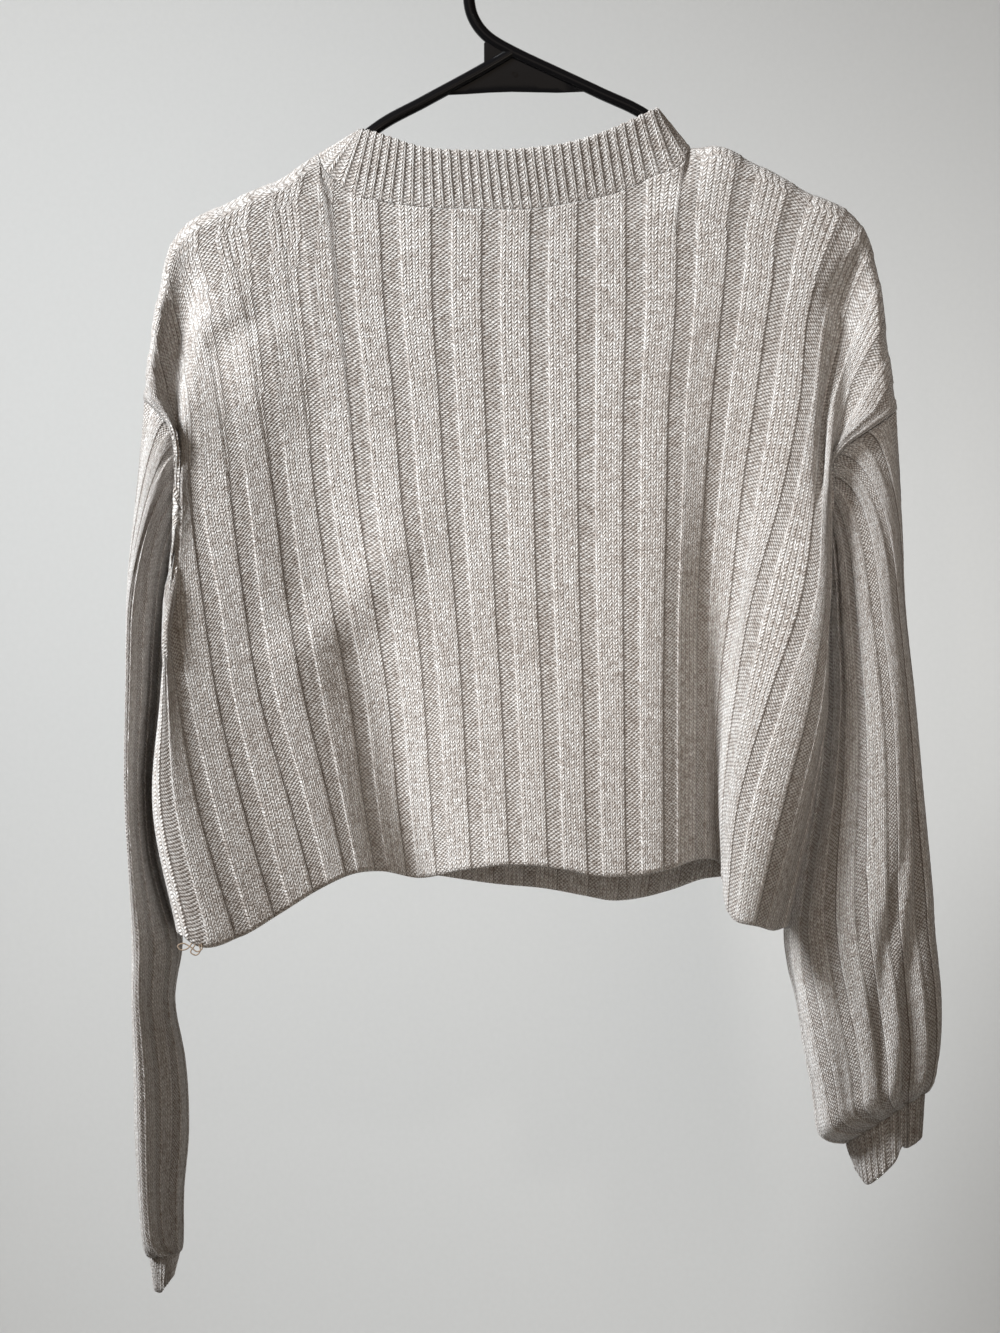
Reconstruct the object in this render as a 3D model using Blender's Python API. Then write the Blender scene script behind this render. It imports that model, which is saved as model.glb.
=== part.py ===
"""Cropped wide-rib knit sweater hanging on a tubular plastic hanger.

The back of the sweater faces -Y and the front faces +Y. The origin is where a rod bears
inside the hook. Sizes in the tables are millimetres; a drop is a distance below the origin.
A wale number counts the wide ribs across a panel, with a purl channel at every whole number.
"""
import math

import bmesh
import bpy
import numpy as np

MM = 0.001
COLLECTION_NAME = "cropped_knit_sweater_on_hanger"

# ---------------------------------------------------------------- cloth
WALL = 2.0
RIB_RAISE = 1.0
SEAM_GAP = 0.3
LEFT_SEAM_WALE = -9.5
RIGHT_SEAM_WALE = 10.5
LEFT_NECK_WALE = -3.35
RIGHT_NECK_WALE = 3.95
MIDDLE_WALE = 0.5 * (LEFT_SEAM_WALE + RIGHT_SEAM_WALE)
HALF_PANEL_WALES = 0.5 * (RIGHT_SEAM_WALE - LEFT_SEAM_WALE)
PURL_HALF = 0.17
KNIT_EDGE = 0.25
UNDERARM_SHARE = 0.28
CREST_RADIUS = 9.0
NECK_SETTLE = 30.0
SIDE_ROUNDNESS = (5.0, 3.2)
LOBE_ROUNDNESS = 12.0
FLANK_DENT = 0.72
FLANK_REACH = 0.17
SHOULDER_SETTLE = 25.0
ARMHOLE_REACH_WALES = 2.2
PANEL_CLEARANCE = 3.4

SLEEVE_RIBS = 11
ARMHOLE_RIB = 2 * UNDERARM_SHARE / SLEEVE_RIBS
PANEL_ROWS = (0.0, 0.1 * ARMHOLE_RIB, 0.3 * ARMHOLE_RIB, ARMHOLE_RIB, 2 * ARMHOLE_RIB,
              3 * ARMHOLE_RIB, 4 * ARMHOLE_RIB, UNDERARM_SHARE,
              0.38, 0.50, 0.62, 0.74, 0.87, 1.0)

# Where the wales of the back stand, at several drops: x of each named wale.
WALE_COLUMNS = (-9.5, -8, -7, -6, -4, -2, 0, 2, 4, 5, 6, 7, 8, 9, 10.5)
BACK_SECTIONS = (
    # drop, then x of the wales above
    (128, -346, -304, -271, -235, -157, -80, -15, 48, 121, 159, 197, 229, 255, 278, 304),
    (180, -287, -268, -248, -216, -144, -79, -14, 48, 114, 148, 181, 216, 242, 262, 285),
    (229, -261, -245, -226, -198, -137, -77, -14, 48, 112, 142, 172, 198, 225, 248, 272),
    (291, -238, -224, -209, -186, -129, -71, -12, 48, 107, 135, 163, 191, 205, 220, 252),
    (356, -215, -214, -205, -176, -122, -66, -9, 48, 105, 129, 153, 178, 199, 205, 205),
    (421, -221, -220, -194, -168, -112, -58, -6, 49, 103, 124, 145, 159, 192, 204, 201),
    (486, -226, -211, -184, -157, -100, -52, -2, 51, 102, 123, 136, 147, 170, 197, 205),
    (551, -231, -197, -168, -138, -92, -48, 1, 52, 102, 122, 133, 138, 150, 181, 196.5),
    (635, -215, -172, -144, -116, -78, -42, 5, 55, 102, 122, 140, 136, 140, 159, 178.5),
)

# How far each panel bellies out from the hanger's plane on its way down.
BELLY = (
    # drop, back, front
    (128, 10, 11),
    (180, 12.5, 13),
    (229, 15.5, 15),
    (291, 18.5, 17.5),
    (356, 22, 20),
    (421, 26, 24),
    (486, 30, 27),
    (551, 34, 31),
    (640, 38, 35),
)

# Upper edges: wale, x, drop, y.
LEFT_SHOULDER = (
    (-9.5, -239, 291, 0),
    (-8, -235, 255, 0),
    (-7, -229, 219, 0),
    (-6, -217, 182, 0),
    (-5, -184, 162, 0),
    (-4, -149, 146, 0),
    (-3.35, -126, 131, 0),
)
RIGHT_SHOULDER = (
    (3.95, 116, 127, 0),
    (4.3, 132, 126, 0),
    (5, 156, 136, 0),
    (6, 191, 155, 0),
    (7, 223, 172, 0),
    (8, 237, 205, 0),
    (9, 244, 255, 0),
    (10.5, 250, 298, 0),
)
BACK_NECK = (
    (-3.35, -126, 131, 0),
    (-3.25, -124.5, 136, -6.5),
    (-3.17, -121.5, 141.5, -8),
    (-2.9, -109, 153, -9.5),
    (-2.1, -84, 162, -11),
    (-1.3, -56, 166, -12),
    (-0.3, -23, 167, -12),
    (0.9, 15, 167, -12),
    (1.85, 44, 162, -11),
    (2.75, 72, 155, -10),
    (3.3, 91, 146, -9.5),
    (3.75, 111.5, 136, -8),
    (3.83, 114, 132, -6.5),
    (3.95, 116, 127, 0),
)
FRONT_NECK = (
    (-3.35, -126, 131, 0),
    (-3.25, -124.5, 136.5, 6.5),
    (-3.17, -121, 146, 8),
    (-2.9, -109, 170, 9.5),
    (-2.5, -95, 187, 11),
    (-2.0, -79, 200, 12),
    (-1.2, -53, 211, 13.5),
    (0.3, -5, 217, 14),
    (1.8, 42, 211, 13.5),
    (2.6, 69, 199, 12),
    (3.1, 86, 186, 11),
    (3.5, 100, 168, 9.5),
    (3.75, 110, 144, 8),
    (3.83, 113.5, 134, 6.5),
    (3.95, 116, 127, 0),
)

# Lower edges: wale, drop.
BACK_HEM = (
    (-9.5, 632),
    (-8.9, 642),
    (-8, 635),
    (-7, 621),
    (-6, 606),
    (-5, 597),
    (-4, 595),
    (-2.7, 600),
    (-1.5, 595),
    (0, 591),
    (1, 593),
    (2, 598),
    (3, 598),
    (4, 594),
    (5, 588),
    (6, 591),
    (7, 606),
    (8, 625),
    (9, 631),
    (9.8, 634),
    (10.5, 632),
)
FRONT_HEM = (
    (-9.5, 632),
    (-8.6, 640),
    (-7.5, 629),
    (-6.4, 612),
    (-4, 596),
    (-2.2, 596),
    (-1.2, 599),
    (1.1, 605.5),
    (2.4, 607.5),
    (3.8, 613),
    (4.6, 616),
    (5.7, 614),
    (6.6, 609),
    (7.7, 601),
    (8.5, 601),
    (9.4, 615),
    (10.5, 632),
)

# Armhole edges: drop, x, half opening along Y.
RIGHT_ARMHOLE = (
    (298, 250, 0),
    (309, 234, 9),
    (320, 218, 11),
    (331, 209, 8),
    (348, 207, 6),
    (384, 205, 3),
    (392, 204, 0),
)
LEFT_ARMHOLE = (
    (291, -239, 0),
    (294, -235, 6),
    (300, -228.5, 11),
    (308, -222, 12.5),
    (320, -218, 10.5),
    (345, -217, 6.5),
    (378, -216.2, 3.5),
    (386, -216, 0),
)

# Folds: wale and drop at one end, wale and drop at the other, half width in wales,
# depth along Y at each end, and the length over which the ends fade.
BACK_FOLDS = (
    # right armpit tuck
    (7.6, 225, 9.6, 345, 0.5, 8, 6, 25),
    # left armpit tuck
    (-6.5, 225, -8.8, 335, 0.5, 9, 7, 25),
    # the left lobe stands out most at the side, and slopes back to the valley
    (-11.5, 300, -12.0, 640, 4.5, -36, -108, 40),
    # valley between the left lobe and the middle
    (-4.7, 320, -2.5, 640, 1.3, 5, 25, 50),
    # broad middle crest
    (0.6, 400, 1.0, 640, 1.8, -1, -5, 60),
    # deep valley that undercuts the right lobe
    (5.1, 300, 5.8, 640, 1.1, 4, 40, 60),
    # right lobe crest
    (8.2, 420, 8.6, 640, 1.1, -3, -18, 60),
    # short swelling under the left shoulder blade
    (-5.3, 240, -5.1, 285, 0.8, -5, -5, 35),
    (-6.0, 260, -4.9, 235, 0.6, 4, 3, 20),
    # soft ridge that climbs to the right
    (-4.9, 455, -2.4, 385, 0.9, -5, -4, 30),
)
FRONT_FOLDS = (
    (7.5, 225, 9.6, 345, 0.45, -12, -9, 25),
    (-6.5, 225, -8.8, 335, 0.45, -11, -9, 25),
    (-5.2, 380, -5.6, 640, 1.2, -4, -22, 60),
    (-7.6, 430, -7.9, 640, 1.0, 3, 8, 60),
    (-1.5, 430, -1.9, 640, 1.5, 2, 9, 60),
    (2.4, 360, 2.6, 640, 1.0, -3, -17, 60),
    (5.4, 420, 5.9, 640, 1.3, 3, 10, 60),
    (7.9, 400, 8.1, 640, 0.8, -4, -14, 60),
    (0.8, 300, -0.6, 400, 1.1, 3, 2, 40),
)

# ---------------------------------------------------------------- sleeves
SLEEVE_SETTLE = 0.2
CROTCH_EASE = 0.45
SLEEVE_GATHER = 0.955
SLEEVE_ROWS = (0.0, 0.035, 0.09, 0.17, 0.29, 0.42, 0.55, 0.68, 0.80, 0.90,
               0.955, 0.983, 1.0)
RIGHT_SLEEVE = (
    # drop, outer x, inner x, back y, front y, tuck
    (298, 250, 212, -13, 14, 0),
    (356, 253, 211, -15, 26, 5),
    (421, 255, 211, -15, 38, 9),
    (486, 262, 212, -15, 46, 10),
    (551, 268, 204.5, -14.5, 47, 12),
    (592, 272, 195, -14, 47, 12),
    (616, 274, 189.5, -15, 46, 10),
    (636, 275, 185, -15, 45, 7),
    (656, 277, 184, -16, 44, 4),
    (681, 279, 186, -16, 42, 0),
    (713, 278, 191, -15, 42, 0),
    (746, 272, 197, -12, 42, 0),
    (790, 269, 200, -10, 42, 0),
)
LEFT_SLEEVE = (
    (291, -239, -219, -26, 26, 0),
    (343, -243, -224, -34, 34, 6),
    (397, -248, -229, -42, 42, 10),
    (476, -250, -233, -50, 50, 12),
    (551, -250, -237, -54, 54, 12),
    (590, -248, -233, -55, 55, 10),
    (616, -247, -226, -55, 55, 8),
    (642, -246, -218, -54, 54, 3),
    (680, -246, -220, -52, 52, 0),
    (721, -245, -213, -50, 50, 0),
    (768, -244, -211, -48, 48, 0),
    (804, -242, -214, -44, 44, 0),
    (845, -239, -214, -38, 38, 0),
)
# A sleeve's inner side swings behind the body by its tuck, about these turns.
RIGHT_TUCK = (0.52, 0.05)
LEFT_TUCK = (0.55, 0.04)
# How far the back of a sleeve leans over to its outer side, or below nought to its inner
# side, and the drops between which the lean comes in.
RIGHT_LEAN = (-0.3, 560, 700)
LEFT_LEAN = (0.7, 260, 420)
# Sleeve folds: turn (0 outer, 0.25 back, 0.5 inner, 0.75 front) and drop at one end,
# the same at the other end, half width in turns, depth at each end, fade.
RIGHT_SLEEVE_FOLDS = (
    (0.12, 500, 0.11, 745, 0.028, 2, 7, 40),
    (0.17, 540, 0.19, 700, 0.030, 2, 4, 40),
    (0.31, 430, 0.27, 740, 0.035, 2, 4, 50),
    (0.62, 420, 0.66, 740, 0.040, 3, 7, 50),
    (0.86, 480, 0.84, 730, 0.035, 3, 8, 50),
)
LEFT_SLEEVE_FOLDS = (
    (0.13, 380, 0.12, 800, 0.035, 2, 4, 50),
    (0.36, 640, 0.38, 800, 0.045, 4, 6, 40),
    (0.62, 600, 0.60, 800, 0.045, 3, 5, 40),
    (0.88, 420, 0.87, 800, 0.035, 2, 4, 50),
)

# ---------------------------------------------------------------- cuffs
CUFF_RIBS = 34
CUFF_RAISE = 0.7
CUFF_POWER = 0.8
CUFF_ROWS = (0.0, 1.0)
# x of the outer side, x of the inner side, drop of each side, middle y, half depth;
# a dent has its turn, its half width in turns and its depth.
RIGHT_CUFF_TOP = (269, 218, 741, 774, 17, 13)
RIGHT_CUFF_END = (267, 224, 765, 801, 16, 10)
RIGHT_CUFF_DENT = (0.13, 0.035, 6)
LEFT_CUFF_TOP = (-235, -216, 846, 843, -1, 30)
LEFT_CUFF_END = (-232, -220, 868, 864, -1, 26)
LEFT_CUFF_DENT = (0.2, 0.05, 1.5)

# ---------------------------------------------------------------- neckband
BAND_RIBS = 74
BAND_RAISE = 0.8
BAND_ROWS = (0.0, 1.0)
# Upper edge of the neckband: turn, x, drop, y.
BAND_EDGE = (
    (0.00, -100, 115.5, 0),
    (0.02, -99, 115.5, -6.5),
    (0.045, -92, 117, -9),
    (0.08, -80, 121, -11),
    (0.14, -57, 128, -12.5),
    (0.21, -26, 130, -13),
    (0.28, 5, 129, -13),
    (0.35, 36, 125, -13),
    (0.41, 62, 117, -12),
    (0.46, 84, 107, -9.5),
    (0.48, 93, 102.5, -7),
    (0.50, 95, 101.5, 0),
    (0.52, 94, 104.5, 7),
    (0.545, 89.5, 115, 9.5),
    (0.575, 81, 132, 11),
    (0.61, 66, 149, 12.5),
    (0.65, 45, 163, 13.5),
    (0.70, 19, 174, 14.5),
    (0.75, -5, 177, 15),
    (0.80, -30, 174, 14.5),
    (0.85, -56, 164, 13.5),
    (0.895, -76, 149, 12),
    (0.93, -88, 135, 10.5),
    (0.955, -94.5, 125, 9),
    (0.98, -99, 117.5, 6.5),
    (1.00, -100, 115.5, 0),
)

# ---------------------------------------------------------------- hanger
TUBE_RADIUS = 4.0
HOOK_RADIUS = 28.0
HOOK_TUBE_RADIUS = 3.9
PLATE_THICKNESS = 4.0
PART_GAP = 0.3
APEX_DROP = 64.5
# Centre line of the two arms from the left end of the bar to the right: x, drop.
ARM_LINE = (
    (-203, 199.1),
    (-206, 199.0),
    (-209.6, 197),
    (-211, 192),
    (-208.5, 186.5),
    (-202, 182),
    (-184, 172.5),
    (-165, 163.5),
    (-149, 155.5),
    (-139, 148.5),
    (-130, 144),
    (-120, 142),
    (-110, 137.5),
    (-102, 128.5),
    (-95, 119.5),
    (-87, 113.2),
    (-57, 96.6),
    (-12, 71.8),
    (0, APEX_DROP),
    (14, 71.0),
    (57, 91),
    (86, 105),
    (95, 111.5),
    (103, 122.5),
    (109, 133),
    (116, 138),
    (124, 138.5),
    (133, 137),
    (145, 140.5),
    (158, 147),
    (182, 160),
    (206, 173),
    (213, 177.5),
    (216, 183.5),
    (214, 189.5),
    (210, 193),
    (207, 193.2),
)
BAR_LINE = (
    (-202.6, 199.1),
    (-70, 197.6),
    (70, 195.4),
    (206.6, 193.2),
)
# Centre line of the lower hook, from its left side down to the arms: x, drop.
HOOK_TAIL = (
    (-28, 30),
    (-25.5, 39),
    (-20.5, 46.5),
    (-13.5, 52.3),
    (-4.8, 57.4),
)
HOOK_CENTRE_DROP = 24.1
HOOK_END_DEGREES = 0.0
HOOK_START_DEGREES = 180.0
HOOK_STEP_DEGREES = 15.0
WEB_ARC = (
    (-40, 92.7),
    (-20, 91.2),
    (1, 90.6),
    (24, 91),
    (46, 91.9),
)
HUB_OUTLINE = (
    (-18.2, 59.2),
    (-14.6, 56.6),
    (-6.3, 61.6),
    (-18.2, 69.8),
)

CLOTH_COLOUR = (0.56, 0.51, 0.46, 1.0)
PLASTIC_COLOUR = (0.006, 0.006, 0.007, 1.0)


def curve(stations, values, at):
    """Smooth line through values given at stations (first axis), read at each point."""
    stations = np.asarray(stations, float)
    values = np.asarray(values, float)
    at = np.asarray(at, float)
    if values.ndim == 1:
        values = np.broadcast_to(values.reshape((-1,) + (1,) * at.ndim),
                                 values.shape + at.shape)
    span = np.diff(stations).reshape((-1,) + (1,) * at.ndim)
    rise = np.diff(values, axis=0) / span
    slope = np.empty_like(values)
    slope[0] = rise[0]
    slope[-1] = rise[-1]
    slope[1:-1] = (rise[:-1] * span[1:] + rise[1:] * span[:-1]) / (span[:-1] + span[1:])
    index = np.clip(np.searchsorted(stations, at) - 1, 0, len(stations) - 2)
    pick = index[None, ...]
    start = np.take_along_axis(values, pick, 0)[0]
    end = np.take_along_axis(values, pick + 1, 0)[0]
    start_slope = np.take_along_axis(slope, pick, 0)[0]
    end_slope = np.take_along_axis(slope, pick + 1, 0)[0]
    length = stations[index + 1] - stations[index]
    t = np.clip((at - stations[index]) / length, 0.0, 1.0)
    return (start * (2 * t**3 - 3 * t**2 + 1) + start_slope * length * (t**3 - 2 * t**2 + t)
            + end * (3 * t**2 - 2 * t**3) + end_slope * length * (t**3 - t**2))


def column(table, index):
    return [row[index] for row in table]


def read_table(table, index, at):
    """Column of a table, whose first column is the station, read at each point."""
    return curve(column(table, 0), column(table, index), at)


def smooth_step(t):
    t = np.clip(t, 0.0, 1.0)
    return t * t * (3 - 2 * t)


def fold_depth(folds, across, drop):
    total = np.zeros_like(across)
    for first_across, first_drop, last_across, last_drop, width, first, last, fade in folds:
        low = min(first_drop, last_drop)
        high = max(first_drop, last_drop)
        inside = np.clip(drop, low, high)
        share = (inside - first_drop) / (last_drop - first_drop)
        middle = first_across + (last_across - first_across) * share
        depth = first + (last - first) * share
        ends = np.exp(-(((drop - inside) / fade) ** 2))
        total = total + depth * ends * np.exp(-(((across - middle) / width) ** 2))
    return total


def wale_x(wale, drop):
    """x of a wale of the back at a drop, before its edges are trued."""
    drops = column(BACK_SECTIONS, 0)
    rows = [curve(WALE_COLUMNS, row[1:], wale) for row in BACK_SECTIONS]
    return curve(drops, np.array(rows), drop)


def top_edge(wale, neck, index):
    """Column of the upper edge (shoulders and neck) at each wale."""
    left = read_table(LEFT_SHOULDER, index, wale)
    right = read_table(RIGHT_SHOULDER, index, wale)
    middle = read_table(neck, index, wale)
    edge = np.where(wale < LEFT_NECK_WALE, left, middle)
    return np.where(wale > RIGHT_NECK_WALE, right, edge)


def side_edge(wale, drop, index):
    """Column of the armhole edge on the wale's own side."""
    left = read_table(LEFT_ARMHOLE, index, drop)
    right = read_table(RIGHT_ARMHOLE, index, drop)
    return np.where(wale < MIDDLE_WALE, left, right)


def panel_point(wale, share, is_back):
    """Point of a body panel: wale across it, share of the way from shoulder or neck to hem."""
    wale, share = np.broadcast_arrays(np.asarray(wale, float), np.asarray(share, float))
    neck = BACK_NECK if is_back else FRONT_NECK
    hem = BACK_HEM if is_back else FRONT_HEM
    top_x = top_edge(wale, neck, 1)
    top_drop = top_edge(wale, neck, 2)
    top_y = top_edge(wale, neck, 3)
    drop = top_drop + (read_table(hem, 1, wale) - top_drop) * share
    below = drop - top_drop

    x = wale_x(wale, drop)
    seam_wale = np.where(wale < MIDDLE_WALE, LEFT_SEAM_WALE, RIGHT_SEAM_WALE)
    seam_x = wale_x(seam_wale, drop)
    if not is_back:
        spread = (wale - LEFT_SEAM_WALE) / (RIGHT_SEAM_WALE - LEFT_SEAM_WALE)
        left_x = wale_x(np.full_like(wale, LEFT_SEAM_WALE), drop)
        right_x = wale_x(np.full_like(wale, RIGHT_SEAM_WALE), drop)
        even_x = left_x + (right_x - left_x) * spread
        x = x + (even_x - x) * smooth_step((drop - 290) / 110)
    x = x + (top_x - wale_x(wale, top_drop)) * np.exp(-below / SHOULDER_SETTLE)
    seam_top_x = np.where(wale < MIDDLE_WALE, LEFT_SHOULDER[0][1], RIGHT_SHOULDER[-1][1])
    seam_top_drop = np.where(wale < MIDDLE_WALE, LEFT_SHOULDER[0][2], RIGHT_SHOULDER[-1][2])
    seam_x = seam_x + (seam_top_x - wale_x(seam_wale, seam_top_drop)) * np.exp(
        -np.maximum(drop - seam_top_drop, 0.0) / SHOULDER_SETTLE)
    from_seam = np.abs(wale - seam_wale)
    near_seam = smooth_step(1 - from_seam / ARMHOLE_REACH_WALES)
    in_armhole = drop > seam_top_drop
    x = x + np.where(in_armhole, (side_edge(wale, drop, 1) - seam_x) * near_seam, 0.0) * (
        1 - smooth_step((drop - 392) / 60))

    across = np.abs(wale - MIDDLE_WALE) / HALF_PANEL_WALES
    roundness = SIDE_ROUNDNESS[0] + (SIDE_ROUNDNESS[1] - SIDE_ROUNDNESS[0]) * smooth_step(
        (drop - 330) / 200)
    if is_back:
        on_lobe = smooth_step((drop - 330) / 200) * smooth_step((MIDDLE_WALE - wale) / 4)
        roundness = roundness + (LOBE_ROUNDNESS - roundness) * on_lobe
    fullness = (1 - np.clip(across, 0, 1) ** roundness) ** (1 / roundness)
    outward = -1.0 if is_back else 1.0
    belly = read_table(BELLY, 1 if is_back else 2, drop)
    opening = np.where(in_armhole, side_edge(wale, drop, 2), 0.0)
    full_y = outward * (belly * fullness + opening * (1 - fullness))
    full_y = full_y + fold_depth(BACK_FOLDS if is_back else FRONT_FOLDS, wale, drop) * fullness
    if not is_back:
        flank = smooth_step(1 - 0.5 * (1 - across) / FLANK_REACH)
        full_y = full_y * (1 - FLANK_DENT * flank * smooth_step((drop - 300) / 90))
    least = PANEL_CLEARANCE * fullness
    spare = outward * full_y - least
    full_y = outward * (least + 0.5 * (spare + np.sqrt(spare**2 + (3 * fullness) ** 2)))
    crest = np.sqrt(1 - (1 - np.clip(below / CREST_RADIUS, 0, 1)) ** 2)
    at_neck = smooth_step(np.abs(top_y) / 6)
    crest = crest + (smooth_step(below / NECK_SETTLE) - crest) * at_neck
    y = top_y + (full_y - top_y) * crest
    return np.stack([x, y, -drop], axis=-1)


def unit(vectors):
    return vectors / np.maximum(np.linalg.norm(vectors, axis=-1, keepdims=True), 1e-9)


def panel_normal(wale, share, is_back):
    """Outward direction of a body panel."""
    wale, share = np.broadcast_arrays(np.asarray(wale, float), np.asarray(share, float))
    step = 0.03
    fall = 0.002
    low = np.clip(wale - step, LEFT_SEAM_WALE, RIGHT_SEAM_WALE)
    high = np.clip(wale + step, LEFT_SEAM_WALE, RIGHT_SEAM_WALE)
    at_left_neck = np.isclose(wale, LEFT_NECK_WALE) & (share < 0.02)
    at_right_neck = np.isclose(wale, RIGHT_NECK_WALE) & (share < 0.02)
    high = np.where(at_left_neck, wale, high)
    low = np.where(at_right_neck, wale, low)
    across = panel_point(high, share, is_back) - panel_point(low, share, is_back)
    down = (panel_point(wale, np.clip(share + fall, 0, 1), is_back)
            - panel_point(wale, np.clip(share - fall, 0, 1), is_back))
    normal = unit(np.cross(across, down))
    return -normal if is_back else normal


def armhole_share(turn):
    """Share of the panel edge that the sleeve's turn meets: back first, then front."""
    half = np.where(turn <= 0.5, turn, 1 - turn) / 0.5
    return half * UNDERARM_SHARE


def armhole_turn(share, is_back):
    """Turn of the armhole at a share of the panel's edge."""
    half = 0.5 * share / UNDERARM_SHARE
    return half if is_back else (1 - half) % 1.0


def armhole_point(turn, seam_wale):
    wale = np.full_like(turn, seam_wale)
    share = armhole_share(turn)
    back = panel_point(wale, share, True)
    front = panel_point(wale, share, False)
    return np.where((turn <= 0.5)[..., None], back, front)


def crotch_normal(point_of, side):
    """Direction away from the body of the cloth that falls from the underarm."""
    if point_of is panel_point:
        line = [panel_point(side["seam_wale"], UNDERARM_SHARE + fall, True)
                for fall in (0.0, 0.05)]
    else:
        line = [sleeve_point(0.5, share, side) for share in (0.0, 0.04)]
    normal = unit(np.cross(line[1] - line[0], np.array([0.0, 1.0, 0.0])))
    outwards = np.sign(side["seam_wale"])
    return normal * np.sign(normal[..., :1]) * outwards


def armhole_normals(turn, side):
    """Outward directions of the body and of the sleeve along the armhole.

    They agree where the cloth runs on smoothly and part where it folds into a valley.
    """
    wale = np.full_like(turn, side["seam_wale"])
    share = armhole_share(turn)
    back = panel_normal(wale, share, True)
    front = panel_normal(wale, share, False)
    body = np.where((turn <= 0.5)[..., None], back, front)
    middle = np.isclose(turn % 0.5, 0)
    body = np.where(middle[..., None], unit(back + front), body)
    sleeve = sleeve_normal(turn, np.zeros_like(turn), side)
    crotch = np.isclose(turn, 0.5)[..., None]
    body = np.where(crotch, crotch_normal(panel_point, side), body)
    sleeve = np.where(crotch, -crotch_normal(sleeve_point, side), sleeve)
    agreement = np.sum(body * sleeve, axis=-1, keepdims=True)
    blend = smooth_step(agreement + 0.6)
    return unit(body + blend * sleeve), unit(sleeve + blend * body)


def ring_point(turn, outer_x, inner_x, outer_drop, inner_drop, middle_y, half_depth,
               ring_power=CUFF_POWER):
    """Point of a flattened ring: turn 0 outer, 0.25 back, 0.5 inner, 0.75 front."""
    cosine = np.cos(2 * np.pi * turn)
    sine = np.sin(2 * np.pi * turn)
    out = np.sign(cosine) * np.abs(cosine) ** ring_power
    back = np.sign(sine) * np.abs(sine) ** ring_power
    x = 0.5 * (outer_x + inner_x) + 0.5 * (outer_x - inner_x) * out
    drop = 0.5 * (outer_drop + inner_drop) + 0.5 * (outer_drop - inner_drop) * out
    return np.stack([x, middle_y - half_depth * back, -drop], axis=-1)


SIDES = {
    "left": {
        "seam_wale": LEFT_SEAM_WALE,
        "sections": LEFT_SLEEVE,
        "folds": LEFT_SLEEVE_FOLDS,
        "cuff_top": LEFT_CUFF_TOP,
        "cuff_end": LEFT_CUFF_END,
        "cuff_dent": LEFT_CUFF_DENT,
        "bulge": 4.0,
        "tuck": LEFT_TUCK,
        "lean": LEFT_LEAN,
        "ring_power": 0.8,
    },
    "right": {
        "seam_wale": RIGHT_SEAM_WALE,
        "sections": RIGHT_SLEEVE,
        "folds": RIGHT_SLEEVE_FOLDS,
        "cuff_top": RIGHT_CUFF_TOP,
        "cuff_end": RIGHT_CUFF_END,
        "cuff_dent": RIGHT_CUFF_DENT,
        "bulge": 5.0,
        "tuck": RIGHT_TUCK,
        "lean": RIGHT_LEAN,
        "ring_power": 0.62,
    },
}


def cuff_ring(turn, side, edge):
    """Edge of a cuff: a flattened ring with a dent."""
    ring = ring_point(turn, *side[edge])
    outer_x, inner_x, outer_drop, inner_drop, middle_y, _ = side[edge]
    centre = np.array([0.5 * (outer_x + inner_x), middle_y, -0.5 * (outer_drop + inner_drop)])
    dent_turn, dent_width, dent_depth = side["cuff_dent"]
    depth = dent_depth * np.exp(-(((turn - dent_turn) / dent_width) ** 2))
    return ring + unit(centre - ring) * depth[..., None]


def sleeve_point(turn, share, side):
    """Point of a sleeve: turn around it, share of the way from armhole to cuff."""
    turn, share = np.broadcast_arrays(np.asarray(turn, float), np.asarray(share, float))
    top = armhole_point(turn, side["seam_wale"])
    end = cuff_ring(turn, side, "cuff_top")
    top_drop = -top[..., 2]
    drop = top_drop + (-end[..., 2] - top_drop) * share
    sections = side["sections"]
    outer_x = read_table(sections, 1, drop)
    inner_x = read_table(sections, 2, drop)
    back_y = read_table(sections, 3, drop)
    front_y = read_table(sections, 4, drop)
    ring = ring_point(turn, outer_x, inner_x, drop, drop,
                      0.5 * (back_y + front_y), 0.5 * (front_y - back_y), side["ring_power"])
    behind = np.clip(np.sin(2 * np.pi * turn), 0, 1) ** 2
    lean, lean_start, lean_full = side["lean"]
    lean_to = outer_x if lean > 0 else inner_x
    lean = abs(lean) * smooth_step((drop - lean_start) / (lean_full - lean_start))
    ring[..., 0] += (lean_to - ring[..., 0]) * lean * behind
    tuck_turn, tuck_width = side["tuck"]
    inwards = -np.sign(side["seam_wale"])
    ring[..., 0] += inwards * read_table(sections, 5, drop) * np.exp(
        -(((turn - tuck_turn) / tuck_width) ** 2))
    centre = np.stack([0.5 * (outer_x + inner_x), 0.5 * (back_y + front_y), -drop], axis=-1)
    inward = unit(centre - ring)
    depth = fold_depth(side["folds"], turn, drop)
    ring = ring + inward * depth[..., None]
    settle = 1 - (1 - np.clip(share / SLEEVE_SETTLE, 0, 1)) ** 2
    point = top + (ring - top) * settle[..., None]
    gather = np.clip((share - SLEEVE_GATHER) / (1 - SLEEVE_GATHER), 0, 1)
    closing = (1 - np.sqrt(np.maximum(1 - gather**2, 0)))[..., None]
    overhang = side["bulge"] * np.sin(np.pi * gather) * (1 - gather)
    point = point + (end - point) * closing
    point[..., 2] -= overhang
    return point


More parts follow.
